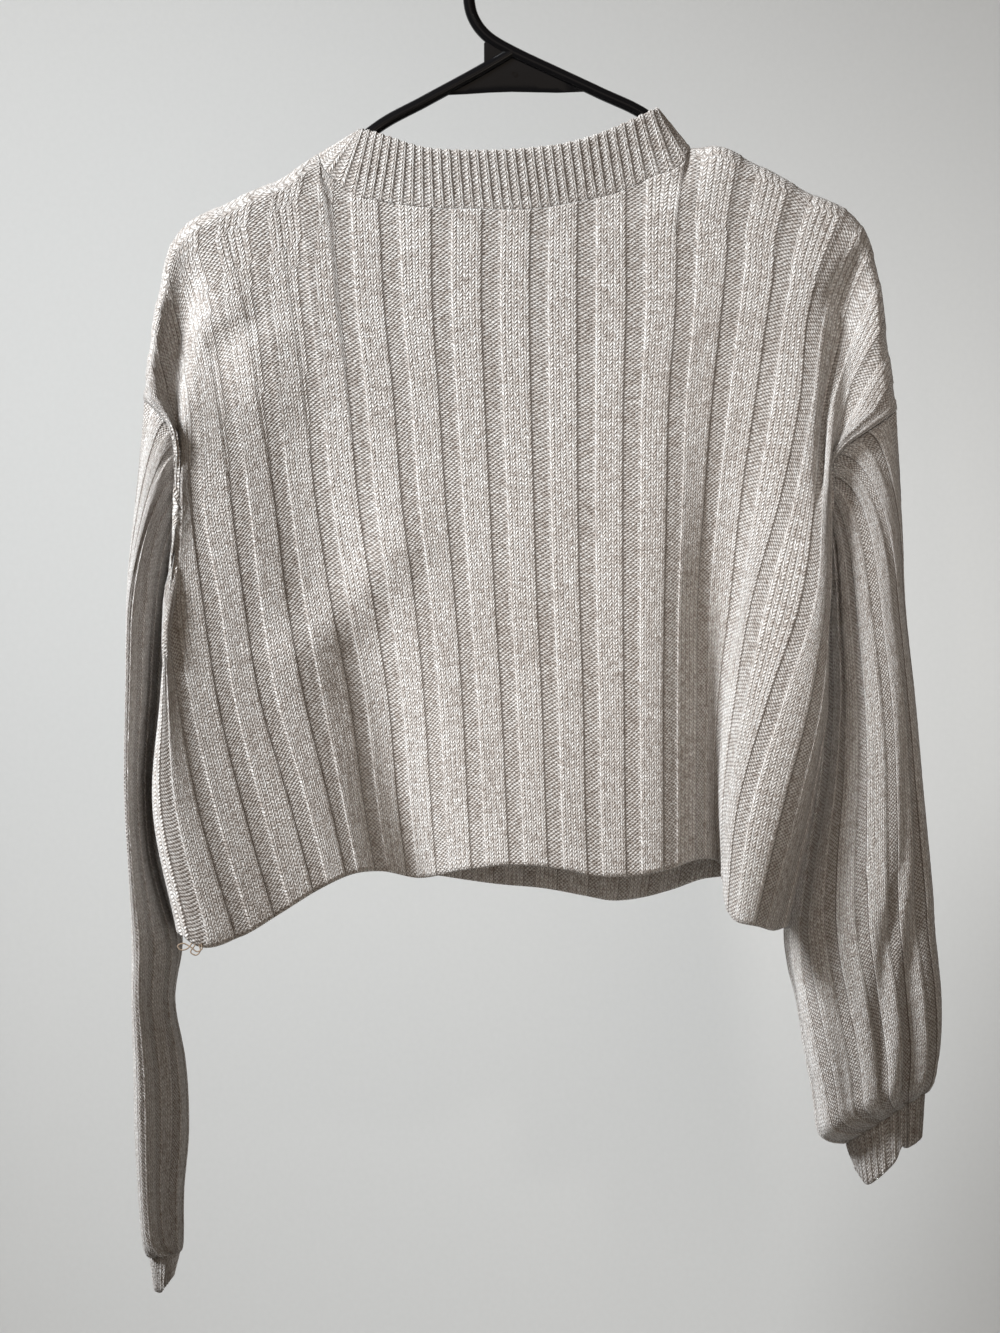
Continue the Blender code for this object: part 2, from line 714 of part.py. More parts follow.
def sleeve_normal(turn, share, side):
    turn, share = np.broadcast_arrays(np.asarray(turn, float), np.asarray(share, float))
    step = 0.004
    fall = 0.006
    around = (sleeve_point((turn + step) % 1.0, share, side)
              - sleeve_point((turn - step) % 1.0, share, side))
    down = (sleeve_point(turn, np.clip(share + fall, 0, 1), side)
            - sleeve_point(turn, np.clip(share - fall, 0, 1), side))
    normal = unit(np.cross(down, around))
    section = sleeve_point(turn, share, side)
    middle = np.mean(section, axis=-2, keepdims=True)
    facing = np.sum(normal * (section - middle), axis=-1)
    return normal if np.mean(facing) > 0 else -normal


def cuff_point(turn, share, side):
    turn, share = np.broadcast_arrays(np.asarray(turn, float), np.asarray(share, float))
    top = cuff_ring(turn, side, "cuff_top")
    end = cuff_ring(turn, side, "cuff_end")
    return top + (end - top) * share[..., None]


def cuff_normal(turn, share, side):
    turn, share = np.broadcast_arrays(np.asarray(turn, float), np.asarray(share, float))
    step = 0.004
    around = (cuff_point((turn + step) % 1.0, share, side)
              - cuff_point((turn - step) % 1.0, share, side))
    down = cuff_ring(turn, side, "cuff_end") - cuff_ring(turn, side, "cuff_top")
    normal = unit(np.cross(down, around))
    section = cuff_point(turn, share, side)
    middle = np.mean(section, axis=-2, keepdims=True)
    facing = np.sum(normal * (section - middle), axis=-1)
    return normal if np.mean(facing) > 0 else -normal


def band_wale(turn):
    """Wale of the neck seam under each turn of the neckband: back first, then front."""
    half = np.where(turn <= 0.5, turn, 1 - turn) / 0.5
    return LEFT_NECK_WALE + (RIGHT_NECK_WALE - LEFT_NECK_WALE) * half


def band_turn(wale, is_back):
    half = 0.5 * (wale - LEFT_NECK_WALE) / (RIGHT_NECK_WALE - LEFT_NECK_WALE)
    return half if is_back else (1 - half) % 1.0


def neck_seam(turn):
    wale = band_wale(turn)
    back = panel_point(wale, np.zeros_like(wale), True)
    front = panel_point(wale, np.zeros_like(wale), False)
    return np.where((turn <= 0.5)[..., None], back, front)


def band_point(turn, share):
    turn, share = np.broadcast_arrays(np.asarray(turn, float), np.asarray(share, float))
    seam = neck_seam(turn)
    edge = np.stack([read_table(BAND_EDGE, 1, turn), read_table(BAND_EDGE, 3, turn),
                     -read_table(BAND_EDGE, 2, turn)], axis=-1)
    return seam + (edge - seam) * share[..., None]


def band_normal(turn, share):
    turn, share = np.broadcast_arrays(np.asarray(turn, float), np.asarray(share, float))
    step = 0.006
    around = band_point((turn + step) % 1.0, share) - band_point((turn - step) % 1.0, share)
    up = (band_point(turn, np.ones_like(turn)) - band_point(turn, np.zeros_like(turn)))
    normal = unit(np.cross(around, up))
    centre = np.array([-5.0, 0.0, -150.0])
    facing = np.sum(normal * (band_point(turn, share) - centre), axis=-1)
    return normal if np.mean(facing) > 0 else -normal


def square_in(edge, beside):
    """Directions from an edge towards the line beside it, square to the edge."""
    along = unit(np.gradient(edge, axis=0))
    inward = beside - edge
    return unit(inward - np.sum(inward * along, axis=-1, keepdims=True) * along)


def pull_back(grid, rows, columns):
    """Move the chosen edges of a grid inwards by half the seam gap."""
    moved = grid.copy()
    half = 0.5 * SEAM_GAP
    if "first" in rows:
        moved[0] += square_in(grid[0], grid[1]) * half
    if "last" in rows:
        moved[-1] += square_in(grid[-1], grid[-2]) * half
    if "first" in columns:
        moved[:, 0] += square_in(grid[:, 0], grid[:, 1]) * half
    if "last" in columns:
        moved[:, -1] += square_in(grid[:, -1], grid[:, -2]) * half
    return moved


def cloth_wall(name, grid, normals, relief, closed, material, collection):
    """Closed wall between an outer face with raised ribs and a plain inner face."""
    rows, columns = relief.shape
    outer = (grid + normals * relief[..., None]).reshape(-1, 3)
    inner = (grid - normals * WALL).reshape(-1, 3)
    points = np.concatenate([outer, inner]) * MM
    offset = rows * columns

    def corner(row, across):
        return row * columns + across % columns

    faces = []
    last = columns if closed else columns - 1
    for row in range(rows - 1):
        for across in range(last):
            quad = (corner(row, across), corner(row, across + 1),
                    corner(row + 1, across + 1), corner(row + 1, across))
            faces.append(quad)
            faces.append(tuple(offset + v for v in reversed(quad)))
    edges = []
    for across in range(last):
        for row in (0, rows - 1):
            edges.append((corner(row, across), corner(row, across + 1)))
    if not closed:
        for row in range(rows - 1):
            for across in (0, columns - 1):
                edges.append((corner(row, across), corner(row + 1, across)))
    for start, end in edges:
        faces.append((start, end, offset + end))
        faces.append((start, offset + end, offset + start))
    mesh = bpy.data.meshes.new(name)
    mesh.from_pydata([tuple(p) for p in points], [], faces)
    shape = bmesh.new()
    shape.from_mesh(mesh)
    bmesh.ops.recalc_face_normals(shape, faces=shape.faces)
    bmesh.ops.triangulate(shape, faces=shape.faces)
    shape.to_mesh(mesh)
    shape.free()
    mesh.materials.append(material)
    piece = bpy.data.objects.new(name, mesh)
    collection.objects.link(piece)
    return piece


def panel_wales():
    """Wales of a panel's columns: the edges of each purl channel, the seams and the neck."""
    wales = [LEFT_SEAM_WALE, RIGHT_SEAM_WALE, LEFT_NECK_WALE, RIGHT_NECK_WALE]
    for channel in range(math.ceil(LEFT_SEAM_WALE), math.floor(RIGHT_SEAM_WALE) + 1):
        wales += [channel - KNIT_EDGE, channel - PURL_HALF,
                  channel + PURL_HALF, channel + KNIT_EDGE]
    return np.array(sorted(wales))


def rib_relief(wale):
    """Height of the raised knit ribs; nothing in the purl channels."""
    from_channel = np.abs(wale - np.round(wale))
    return RIB_RAISE * smooth_step((from_channel - PURL_HALF) / (KNIT_EDGE - PURL_HALF))


def panel_frame(is_back):
    """Wales, shares, points and outward directions of a body panel, matched at its seams."""
    wales = panel_wales()
    shares = np.array(PANEL_ROWS)
    wale, share = np.meshgrid(wales, shares)
    grid = panel_point(wale, share, is_back)
    normals = panel_normal(wale, share, is_back)
    other = panel_normal(wale, share, not is_back)
    shoulder = (share == 0) & ((wale <= LEFT_NECK_WALE) | (wale >= RIGHT_NECK_WALE))
    side = ((wale == LEFT_SEAM_WALE) | (wale == RIGHT_SEAM_WALE)) & (
        share > UNDERARM_SHARE)
    shared = (shoulder | side)[..., None]
    normals = np.where(shared, unit(normals + other), normals)
    in_armhole = shares <= UNDERARM_SHARE
    turns = armhole_turn(shares[in_armhole], is_back)
    normals[in_armhole, 0] = armhole_normals(turns, SIDES["left"])[0]
    normals[in_armhole, -1] = armhole_normals(turns, SIDES["right"])[0]
    in_neck = (wales >= LEFT_NECK_WALE) & (wales <= RIGHT_NECK_WALE)
    band = band_normal(band_turn(wales[in_neck], is_back), np.zeros(in_neck.sum()))
    normals[0, in_neck] = unit(normals[0, in_neck] + band)
    return wales, shares, grid, normals


def along_edge(at, stations, points):
    """Points of a straight-sided edge line read at each station."""
    return np.stack([np.interp(at, stations, points[:, axis]) for axis in range(3)], axis=-1)


def sleeve_seam(turns, side):
    """Points and directions of the sleeve's upper edge, matched to the body's edge."""
    column_index = 0 if side["seam_wale"] == LEFT_SEAM_WALE else -1
    points = []
    directions = []
    for is_back in (True, False):
        _, shares, grid, _ = panel_frame(is_back)
        in_armhole = shares <= UNDERARM_SHARE
        stations = shares[in_armhole]
        normals = armhole_normals(armhole_turn(stations, is_back), side)[1]
        at = armhole_share(turns)
        points.append(along_edge(at, stations, grid[in_armhole, column_index]))
        directions.append(along_edge(at, stations, normals))
    back = (turns <= 0.5)[..., None]
    return np.where(back, points[0], points[1]), np.where(back, directions[0], directions[1])


def band_seam(turns):
    """Points and directions of the neck edge as the body's walls have it."""
    seam = []
    for is_back in (True, False):
        wales, _, grid, normals = panel_frame(is_back)
        at = band_wale(turns)
        seam.append([along_edge(at, wales, values[0]) for values in (grid, normals)])
    back = (turns <= 0.5)[..., None]
    return [np.where(back, seam[0][kind], seam[1][kind]) for kind in (0, 1)]


def cuff_seam(turns, side):
    """Points and directions of the cuff's upper edge, matched to the sleeve's edge."""
    columns, _ = sleeve_columns()
    points = sleeve_point(columns, np.ones_like(columns), side)
    directions = unit(sleeve_normal(columns, np.ones_like(columns), side)
                      + cuff_normal(columns, np.zeros_like(columns), side))
    columns = np.append(columns, 1.0)
    return (along_edge(turns, columns, np.concatenate([points, points[:1]])),
            along_edge(turns, columns, np.concatenate([directions, directions[:1]])))


def body_panel(name, is_back, material, collection):
    wales, shares, grid, normals = panel_frame(is_back)
    grid = pull_back(grid, ("first",), ("first", "last"))
    relief = np.tile(rib_relief(wales), (len(shares), 1))
    relief[shares <= UNDERARM_SHARE, 0] = 0
    relief[shares <= UNDERARM_SHARE, -1] = 0
    relief[0, (wales >= LEFT_NECK_WALE) & (wales <= RIGHT_NECK_WALE)] = 0
    return cloth_wall(name, grid, normals, relief, False, material, collection)


def sleeve_columns():
    """Turns of a sleeve's columns and the raise of each, ribs over plain channels."""
    turns = []
    for rib in range(SLEEVE_RIBS):
        turns += [rib / SLEEVE_RIBS, (rib + 0.3) / SLEEVE_RIBS,
                  (rib + 0.4) / SLEEVE_RIBS, (rib + 0.9) / SLEEVE_RIBS]
    turns += [0.5, 0.1 / SLEEVE_RIBS, 1 - 0.3 / SLEEVE_RIBS]
    turns = np.array(sorted(turns))
    from_rib = turns * SLEEVE_RIBS % 1.0
    raised = np.where((from_rib > 0.35) & (from_rib < 0.95), 1.0, 0.0)
    return turns, raised


def sleeve(name, side_name, material, collection):
    side = SIDES[side_name]
    turns, raised = sleeve_columns()
    turn, share = np.meshgrid(turns, np.array(SLEEVE_ROWS))
    grid = sleeve_point(turn, share, side)
    normals = sleeve_normal(turn, share, side)
    grid[0], normals[0] = sleeve_seam(turns, side)
    crotch = np.abs(turns - 0.5) < 0.06
    outwards = np.sign(side["seam_wale"]) * CROTCH_EASE
    grid[0, crotch] += np.array([outwards, 0.0, -CROTCH_EASE])
    normals[-1] = unit(normals[-1] + cuff_normal(turns, np.zeros_like(turns), side))
    grid = pull_back(grid, ("first", "last"), ())
    relief = np.tile(raised * RIB_RAISE, (len(SLEEVE_ROWS), 1))
    relief[0] = 0
    return cloth_wall(name, grid, normals, relief, True, material, collection)


def fine_ribs(count):
    """Turns of a 1x1 rib's columns, a ridge and a groove to each rib."""
    turns = np.arange(2 * count) / (2 * count)
    ridge = np.tile(np.array([0.0, 1.0]), count)
    return turns, ridge


def cuff(name, side_name, material, collection):
    side = SIDES[side_name]
    turns, ridge = fine_ribs(CUFF_RIBS)
    turn, share = np.meshgrid(turns, np.array(CUFF_ROWS))
    grid = cuff_point(turn, share, side)
    normals = cuff_normal(turn, share, side)
    grid[0], normals[0] = cuff_seam(turns, side)
    grid = pull_back(grid, ("first",), ())
    relief = np.tile(ridge * CUFF_RAISE, (len(CUFF_ROWS), 1))
    relief[0] = 0
    return cloth_wall(name, grid, normals, relief, True, material, collection)


def neckband(name, material, collection):
    turns, ridge = fine_ribs(BAND_RIBS)
    wales = panel_wales()
    wales = wales[(wales >= LEFT_NECK_WALE) & (wales <= RIGHT_NECK_WALE)]
    corners = np.concatenate([band_turn(wales, True), band_turn(wales, False)])
    moved = set()
    for corner_turn in sorted(corners):
        nearest = int(np.argmin(np.abs(turns - corner_turn)))
        if nearest not in moved:
            turns[nearest] = corner_turn
            moved.add(nearest)
    turn, share = np.meshgrid(turns, np.array(BAND_ROWS))
    grid = band_point(turn, share)
    normals = band_normal(turn, share)
    grid[0], normals[0] = band_seam(turns)
    grid = pull_back(grid, ("first",), ())
    relief = np.tile(ridge * BAND_RAISE, (len(BAND_ROWS), 1))
    relief[0] = 0
    return cloth_wall(name, grid, normals, relief, True, material, collection)


def tube(name, line, radius, material, collection):
    """Round plastic rod along a line of (x, drop) points."""
    data = bpy.data.curves.new(name, "CURVE")
    data.dimensions = "3D"
    data.bevel_depth = radius * MM
    data.bevel_resolution = 2
    data.use_fill_caps = True
    spline = data.splines.new("POLY")
    spline.points.add(len(line) - 1)
    for point, (x, drop) in zip(spline.points, line):
        point.co = (x * MM, 0.0, -drop * MM, 1.0)
    data.materials.append(material)
    piece = bpy.data.objects.new(name, data)
    collection.objects.link(piece)
    return piece


def plate(name, outline, thickness, material, collection):
    """Flat plate in the hanger's plane with the outline of (x, drop) points."""
    data = bpy.data.curves.new(name, "CURVE")
    data.dimensions = "2D"
    data.fill_mode = "BOTH"
    data.extrude = 0.5 * thickness * MM
    spline = data.splines.new("POLY")
    spline.points.add(len(outline) - 1)
    spline.use_cyclic_u = True
    for point, (x, drop) in zip(spline.points, outline):
        point.co = (x * MM, -drop * MM, 0.0, 1.0)
    data.materials.append(material)
    piece = bpy.data.objects.new(name, data)
    piece.rotation_euler = (math.radians(90), 0, 0)
    collection.objects.link(piece)
    return piece


def hook_line():
    """Centre line of the hook: from its free end over the top and down to the arms."""
    line = []
    degrees = HOOK_END_DEGREES
    while degrees < HOOK_START_DEGREES - 1:
        angle = math.radians(degrees)
        line.append((HOOK_RADIUS * math.cos(angle),
                     HOOK_CENTRE_DROP - HOOK_RADIUS * math.sin(angle)))
        degrees += HOOK_STEP_DEGREES
    return line + list(HOOK_TAIL)


def arm_drop(x):
    """Drop of the arms' centre line at x, between its notches."""
    arms = [point for point in ARM_LINE if abs(point[0]) < 90]
    return float(np.interp(x, column(arms, 0), column(arms, 1)))


def web_outline():
    """Outline of the web that fills the angle under the apex, just clear of the arms."""
    below = (TUBE_RADIUS + PART_GAP) / math.cos(math.radians(27.5))
    left_end = -48.0
    right_end = 52.0
    apex_below = arm_drop(0.0) + below + 1.2
    outline = [(left_end, arm_drop(left_end) + below)]
    outline += [(-12.0, arm_drop(-12.0) + below + 0.4), (0.0, apex_below),
                (14.0, arm_drop(14.0) + below + 0.4)]
    outline += [(right_end, arm_drop(right_end) + below)]
    return outline + list(reversed(WEB_ARC))


def hanger(material, collection):
    tube("hanger_arms", ARM_LINE, TUBE_RADIUS, material, collection)
    tube("hanger_bar", BAR_LINE, TUBE_RADIUS, material, collection)
    tube("hanger_hook", hook_line(), HOOK_TUBE_RADIUS, material, collection)
    plate("hanger_web", web_outline(), PLATE_THICKNESS, material, collection)
    plate("hanger_hub", HUB_OUTLINE, PLATE_THICKNESS, material, collection)


def plain_material(name, colour, roughness):
    material = bpy.data.materials.new(name)
    material.use_nodes = True
    shader = material.node_tree.nodes["Principled BSDF"]
    shader.inputs["Base Color"].default_value = colour
    shader.inputs["Roughness"].default_value = roughness
    shader.inputs["Metallic"].default_value = 0.0
    material.diffuse_color = colour
    return material


def cloth_material(name):
    return plain_material(name, CLOTH_COLOUR, 0.95)


def clear_scene():
    for piece in list(bpy.data.objects):
        bpy.data.objects.remove(piece, do_unlink=True)


def main():
    clear_scene()
    collection = bpy.data.collections.new(COLLECTION_NAME)
    bpy.context.scene.collection.children.link(collection)
    body_panel("body_back", True, cloth_material("back_knit"), collection)
    body_panel("body_front", False, cloth_material("front_knit"), collection)
    for side_name in SIDES:
        sleeve("sleeve_" + side_name, side_name, cloth_material("sleeve_knit"), collection)
        cuff("cuff_" + side_name, side_name, cloth_material("cuff_knit"), collection)
    neckband("neckband", cloth_material("neckband_knit"), collection)
    hanger(plain_material("hanger_plastic", PLASTIC_COLOUR, 0.25), collection)


main()
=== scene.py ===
import functools
import math

import bmesh
import bpy
import numpy as np
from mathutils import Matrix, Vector


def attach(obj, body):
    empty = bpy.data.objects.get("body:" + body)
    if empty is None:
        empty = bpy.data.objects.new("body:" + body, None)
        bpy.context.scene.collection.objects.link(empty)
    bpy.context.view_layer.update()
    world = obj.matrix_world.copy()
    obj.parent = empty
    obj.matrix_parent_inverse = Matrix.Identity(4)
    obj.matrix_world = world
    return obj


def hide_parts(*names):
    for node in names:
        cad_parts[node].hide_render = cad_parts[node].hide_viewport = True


# A cropped wide-rib sweater on a tubular hanger, seen from its back.
# Tables are in millimetres: x to the right, y towards the sweater's front, and drop down from
# where the hook hangs. A wale number counts the wide ribs across a panel, with a purl channel
# at every whole number.

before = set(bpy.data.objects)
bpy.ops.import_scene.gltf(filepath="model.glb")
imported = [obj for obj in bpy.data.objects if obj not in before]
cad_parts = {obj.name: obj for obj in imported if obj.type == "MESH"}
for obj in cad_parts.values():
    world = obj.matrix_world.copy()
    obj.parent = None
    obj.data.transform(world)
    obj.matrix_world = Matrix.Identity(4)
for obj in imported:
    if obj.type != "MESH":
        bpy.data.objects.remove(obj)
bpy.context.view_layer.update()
mm = 0.001

# Sizes that the tables share
seamGap = 0.3
leftSeamWale = -9.5
rightSeamWale = 10.5
leftNeckWale = -3.35
rightNeckWale = 3.95
middleWale = 0.5 * (leftSeamWale + rightSeamWale)
halfPanelWales = 0.5 * (rightSeamWale - leftSeamWale)
underarmShare = 0.28
crestRadius = 9.0
neckSettle = 30.0
sideRoundness = (5.0, 3.2)
lobeRoundness = 12.0
lobeWales = 4
cornerEase = 0.45  # eases the step between the end of the shoulder and the neck seam
cornerWales = 0.5
flankDent = 0.72
flankReach = 0.17
shoulderSettle = 25.0
armholeReachWales = 2.2
panelClearance = 3.4
clearanceSoftness = 3
neckDepth = 6  # a top edge this far from the middle plane counts as the neck
normalWales = 0.03  # a panel's slope is measured between places this far apart
normalFall = 0.002
topEdgeShare = 0.02
ringStep = 0.004  # the same round a tube and down it
ringFall = 0.006
wholeWay = 1.0
underarmFalls = (0.05, 0.04)  # down the body and the sleeve, for the seam under the arm
sharpSeam = 0.6
bandCentre = (-5.0, 0.0, -150.0)
# Changes on the way down: the drop where each begins, and the length it takes
evenWales = (290, 110)
armholeEnds = (392, 60)
sideTurns = (330, 200)
flankTurns = (300, 90)

# Where the wales of the back stand, at several drops: x of each named wale.
waleColumns = (-9.5, -8, -7, -6, -4, -2, 0, 2, 4, 5, 6, 7, 8, 9, 10.5)
backSections = (
    # drop, then x of the wales above
    (128, -346, -304, -271, -235, -157, -80, -15, 48, 121, 159, 197, 229, 255, 278, 304),
    (180, -287, -268, -248, -216, -144, -79, -14, 48, 114, 148, 181, 216, 242, 262, 285),
    (229, -261, -245, -226, -198, -137, -77, -14, 48, 112, 142, 172, 198, 225, 248, 272),
    (291, -238, -224, -209, -186, -129, -71, -12, 48, 107, 135, 163, 191, 205, 220, 252),
    (356, -215, -214, -205, -176, -122, -66, -9, 48, 105, 129, 153, 178, 199, 205, 205),
    (421, -221, -220, -194, -168, -112, -58, -6, 49, 103, 124, 145, 159, 192, 204, 201),
    (486, -226, -211, -184, -157, -100, -52, -2, 51, 102, 123, 136, 147, 170, 197, 205),
    (551, -231, -197, -168, -138, -92, -48, 1, 52, 102, 122, 133, 138, 150, 181, 196.5),
    (635, -215, -172, -144, -116, -78, -42, 5, 55, 102, 122, 140, 136, 140, 159, 178.5),
)

# How far each panel bellies out from the hanger's plane on its way down.
bellyDepth = (
    # drop, back, front
    (128, 10, 11), (180, 12.5, 13), (229, 15.5, 15), (291, 18.5, 17.5), (356, 22, 20),
    (421, 26, 24), (486, 30, 27), (551, 34, 31), (640, 38, 35),
)

# Upper edges: wale, x, drop, y.
leftShoulder = (
    (-9.5, -239, 291, 0), (-8, -235, 255, 0), (-7, -229, 219, 0), (-6, -217, 182, 0),
    (-5, -184, 162, 0), (-4, -149, 146, 0), (-3.35, -126, 131, 0),
)
rightShoulder = (
    (3.95, 116, 127, 0), (4.3, 132, 126, 0), (5, 156, 136, 0), (6, 191, 155, 0), (7, 223, 172, 0),
    (8, 237, 205, 0), (9, 244, 255, 0), (10.5, 250, 298, 0),
)
backNeck = (
    (-3.35, -126, 131, 0), (-3.25, -124.5, 136, -6.5), (-3.17, -121.5, 141.5, -8),
    (-2.9, -109, 153, -9.5), (-2.1, -84, 162, -11), (-1.3, -56, 166, -12), (-0.3, -23, 167, -12),
    (0.9, 15, 167, -12), (1.85, 44, 162, -11), (2.75, 72, 155, -10), (3.3, 91, 146, -9.5),
    (3.75, 111.5, 136, -8), (3.83, 114, 132, -6.5), (3.95, 116, 127, 0),
)
frontNeck = (
    (-3.35, -126, 131, 0), (-3.25, -124.5, 136.5, 6.5), (-3.17, -121, 146, 8),
    (-2.9, -109, 170, 9.5), (-2.5, -95, 187, 11), (-2.0, -79, 200, 12), (-1.2, -53, 211, 13.5),
    (0.3, -5, 217, 14), (1.8, 42, 211, 13.5), (2.6, 69, 199, 12), (3.1, 86, 186, 11),
    (3.5, 100, 168, 9.5), (3.75, 110, 144, 8), (3.83, 113.5, 134, 6.5), (3.95, 116, 127, 0),
)

# Lower edges: wale, drop.
backHem = (
    (-9.5, 632), (-8.9, 642), (-8, 635), (-7, 621), (-6, 606), (-5, 597), (-4, 595), (-2.7, 600),
    (-1.5, 595), (0, 591), (1, 593), (2, 598), (3, 598), (4, 594), (5, 588), (6, 591), (7, 606),
    (8, 625), (9, 631), (9.8, 634), (10.5, 632),
)
frontHem = (
    (-9.5, 632), (-8.6, 640), (-7.5, 629), (-6.4, 612), (-4, 596), (-2.2, 596), (-1.2, 599),
    (1.1, 605.5), (2.4, 607.5), (3.8, 613), (4.6, 616), (5.7, 614), (6.6, 609), (7.7, 601),
    (8.5, 601), (9.4, 615), (10.5, 632),
)

# Armhole edges: drop, x, half opening along Y.
rightArmhole = (
    (298, 250, 0), (309, 234, 9), (320, 218, 11), (331, 209, 8), (348, 207, 6), (384, 205, 3),
    (392, 204, 0),
)
leftArmhole = (
    (291, -239, 0), (294, -235, 6), (300, -228.5, 11), (308, -222, 12.5), (320, -218, 10.5),
    (345, -217, 6.5), (378, -216.2, 3.5), (386, -216, 0),
)

# Folds: wale and drop at one end, wale and drop at the other, half width in wales,
# depth along Y at each end, and the length over which the ends fade.
backFolds = (
    # right armpit tuck
    (7.6, 225, 9.6, 345, 0.5, 8, 6, 25),
    # left armpit tuck
    (-6.5, 225, -8.8, 335, 0.5, 9, 7, 25),
    # creases that run down from the ends of the rod, between the body and the arms
    (7.45, 210, 8.0, 330, 0.26, 5, 10, 20), (-6.2, 212, -8.9, 385, 0.30, 5, 11, 20),
    # the cloth swells between that crease and the left armhole
    (-7.6, 235, -9.3, 330, 0.45, -4, -5, 22),
    # the left lobe stands out most at the side, and slopes back to the valley
    (-11.5, 300, -12.0, 640, 4.5, -36, -108, 40),
    # valley between the left lobe and the middle
    (-4.7, 320, -2.5, 640, 1.3, 5, 25, 50),
    # broad middle crest
    (0.6, 400, 1.0, 640, 1.8, -1, -5, 60),
    # deep valley that undercuts the right lobe
    (5.1, 300, 5.8, 640, 1.1, 4, 40, 60),
    # right lobe crest
    (8.2, 420, 8.6, 640, 1.1, -3, -18, 60),
    # short swelling under the left shoulder blade
    (-5.3, 240, -5.1, 285, 0.8, -5, -5, 35), (-6.0, 260, -4.9, 235, 0.6, 4, 3, 20),
    # soft ridge that climbs to the right
    (-4.9, 455, -2.4, 385, 0.9, -5, -4, 30),
)
frontFolds = (
    (7.5, 225, 9.6, 345, 0.45, -12, -9, 25), (-6.5, 225, -8.8, 335, 0.45, -11, -9, 25),
    (-5.2, 380, -5.6, 640, 1.2, -4, -22, 60), (-7.6, 430, -7.9, 640, 1.0, 3, 8, 60),
    (-1.5, 430, -1.9, 640, 1.5, 2, 9, 60), (2.4, 360, 2.6, 640, 1.0, -3, -17, 60),
    (5.4, 420, 5.9, 640, 1.3, 3, 10, 60), (7.9, 400, 8.1, 640, 0.8, -4, -14, 60),
    (0.8, 300, -0.6, 400, 1.1, 3, 2, 40),
)

sleeveSettle = 0.2
crotchEase = 0.45
sleeveGather = 0.955
rightSleeve = (
    # drop, outer x, inner x, back y, front y, tuck
    (298, 250, 212, -13, 14, 0), (356, 253, 211, -15, 26, 5), (421, 255, 211, -15, 38, 9),
    (486, 262, 212, -15, 46, 10), (551, 268, 204.5, -14.5, 47, 12), (592, 272, 195, -14, 47, 12),
    (616, 274, 189.5, -15, 46, 10), (636, 275, 185, -15, 45, 7), (656, 277, 184, -16, 44, 4),
    (681, 279, 186, -16, 42, 0), (713, 278, 191, -15, 42, 0), (746, 272, 197, -12, 42, 0),
    (790, 269, 200, -10, 42, 0),
)
leftSleeve = (
    (291, -239, -219, -26, 26, 0), (343, -243, -224, -34, 34, 6), (397, -248, -229, -42, 42, 10),
    (476, -250, -233, -50, 50, 12), (551, -250, -237, -54, 54, 12), (590, -248, -233, -55, 55, 10),
    (616, -247, -226, -55, 55, 8), (642, -246, -218, -54, 54, 3), (680, -246, -220, -52, 52, 0),
    (721, -245, -213, -50, 50, 0), (768, -244, -211, -48, 48, 0), (804, -242, -214, -44, 44, 0),
    (845, -239, -214, -38, 38, 0),
)
# Sleeve folds: turn (0 outer, 0.25 back, 0.5 inner, 0.75 front) and drop at one end,
# the same at the other end, half width in turns, depth at each end, fade.
rightSleeveFolds = (
    (0.12, 500, 0.11, 745, 0.028, 2, 7, 40), (0.17, 540, 0.19, 700, 0.030, 2, 4, 40),
    (0.31, 430, 0.27, 740, 0.035, 2, 4, 50), (0.62, 420, 0.66, 740, 0.040, 3, 7, 50),
    (0.86, 480, 0.84, 730, 0.035, 3, 8, 50),
)
leftSleeveFolds = (
    (0.13, 380, 0.12, 800, 0.035, 2, 4, 50), (0.36, 640, 0.38, 800, 0.045, 4, 6, 40),
    (0.62, 600, 0.60, 800, 0.045, 3, 5, 40), (0.88, 420, 0.87, 800, 0.035, 2, 4, 50),
)

cuffRibs = 34
cuffPower = 0.8
# A cuff's ring: x of its outer and inner side, drop of each, middle y, half depth. Its dent:
# turn, half width in turns, depth. A sleeve's inner side swings behind the body by its tuck,
# about a turn, within a width. Its back leans to its outer side, or below nought to its inner
# one, and the lean comes in between two drops.
sides = {
    "left": {
        "seamWale": leftSeamWale, "sections": leftSleeve, "folds": leftSleeveFolds,
        "cuffTop": (-235, -216, 846, 843, -1, 30), "cuffEnd": (-232, -220, 868, 864, -1, 26),
        "cuffDent": (0.2, 0.05, 1.5), "bulge": 4.0, "tuck": (0.55, 0.04),
        "lean": (0.7, 260, 420), "ringPower": 0.8,
    },
    "right": {
        "seamWale": rightSeamWale, "sections": rightSleeve, "folds": rightSleeveFolds,
        "cuffTop": (269, 218, 741, 774, 17, 13), "cuffEnd": (267, 224, 765, 801, 16, 10),
        "cuffDent": (0.13, 0.035, 6), "bulge": 5.0, "tuck": (0.52, 0.05),
        "lean": (-0.3, 560, 700), "ringPower": 0.62,
    },
}

bandRibs = 74
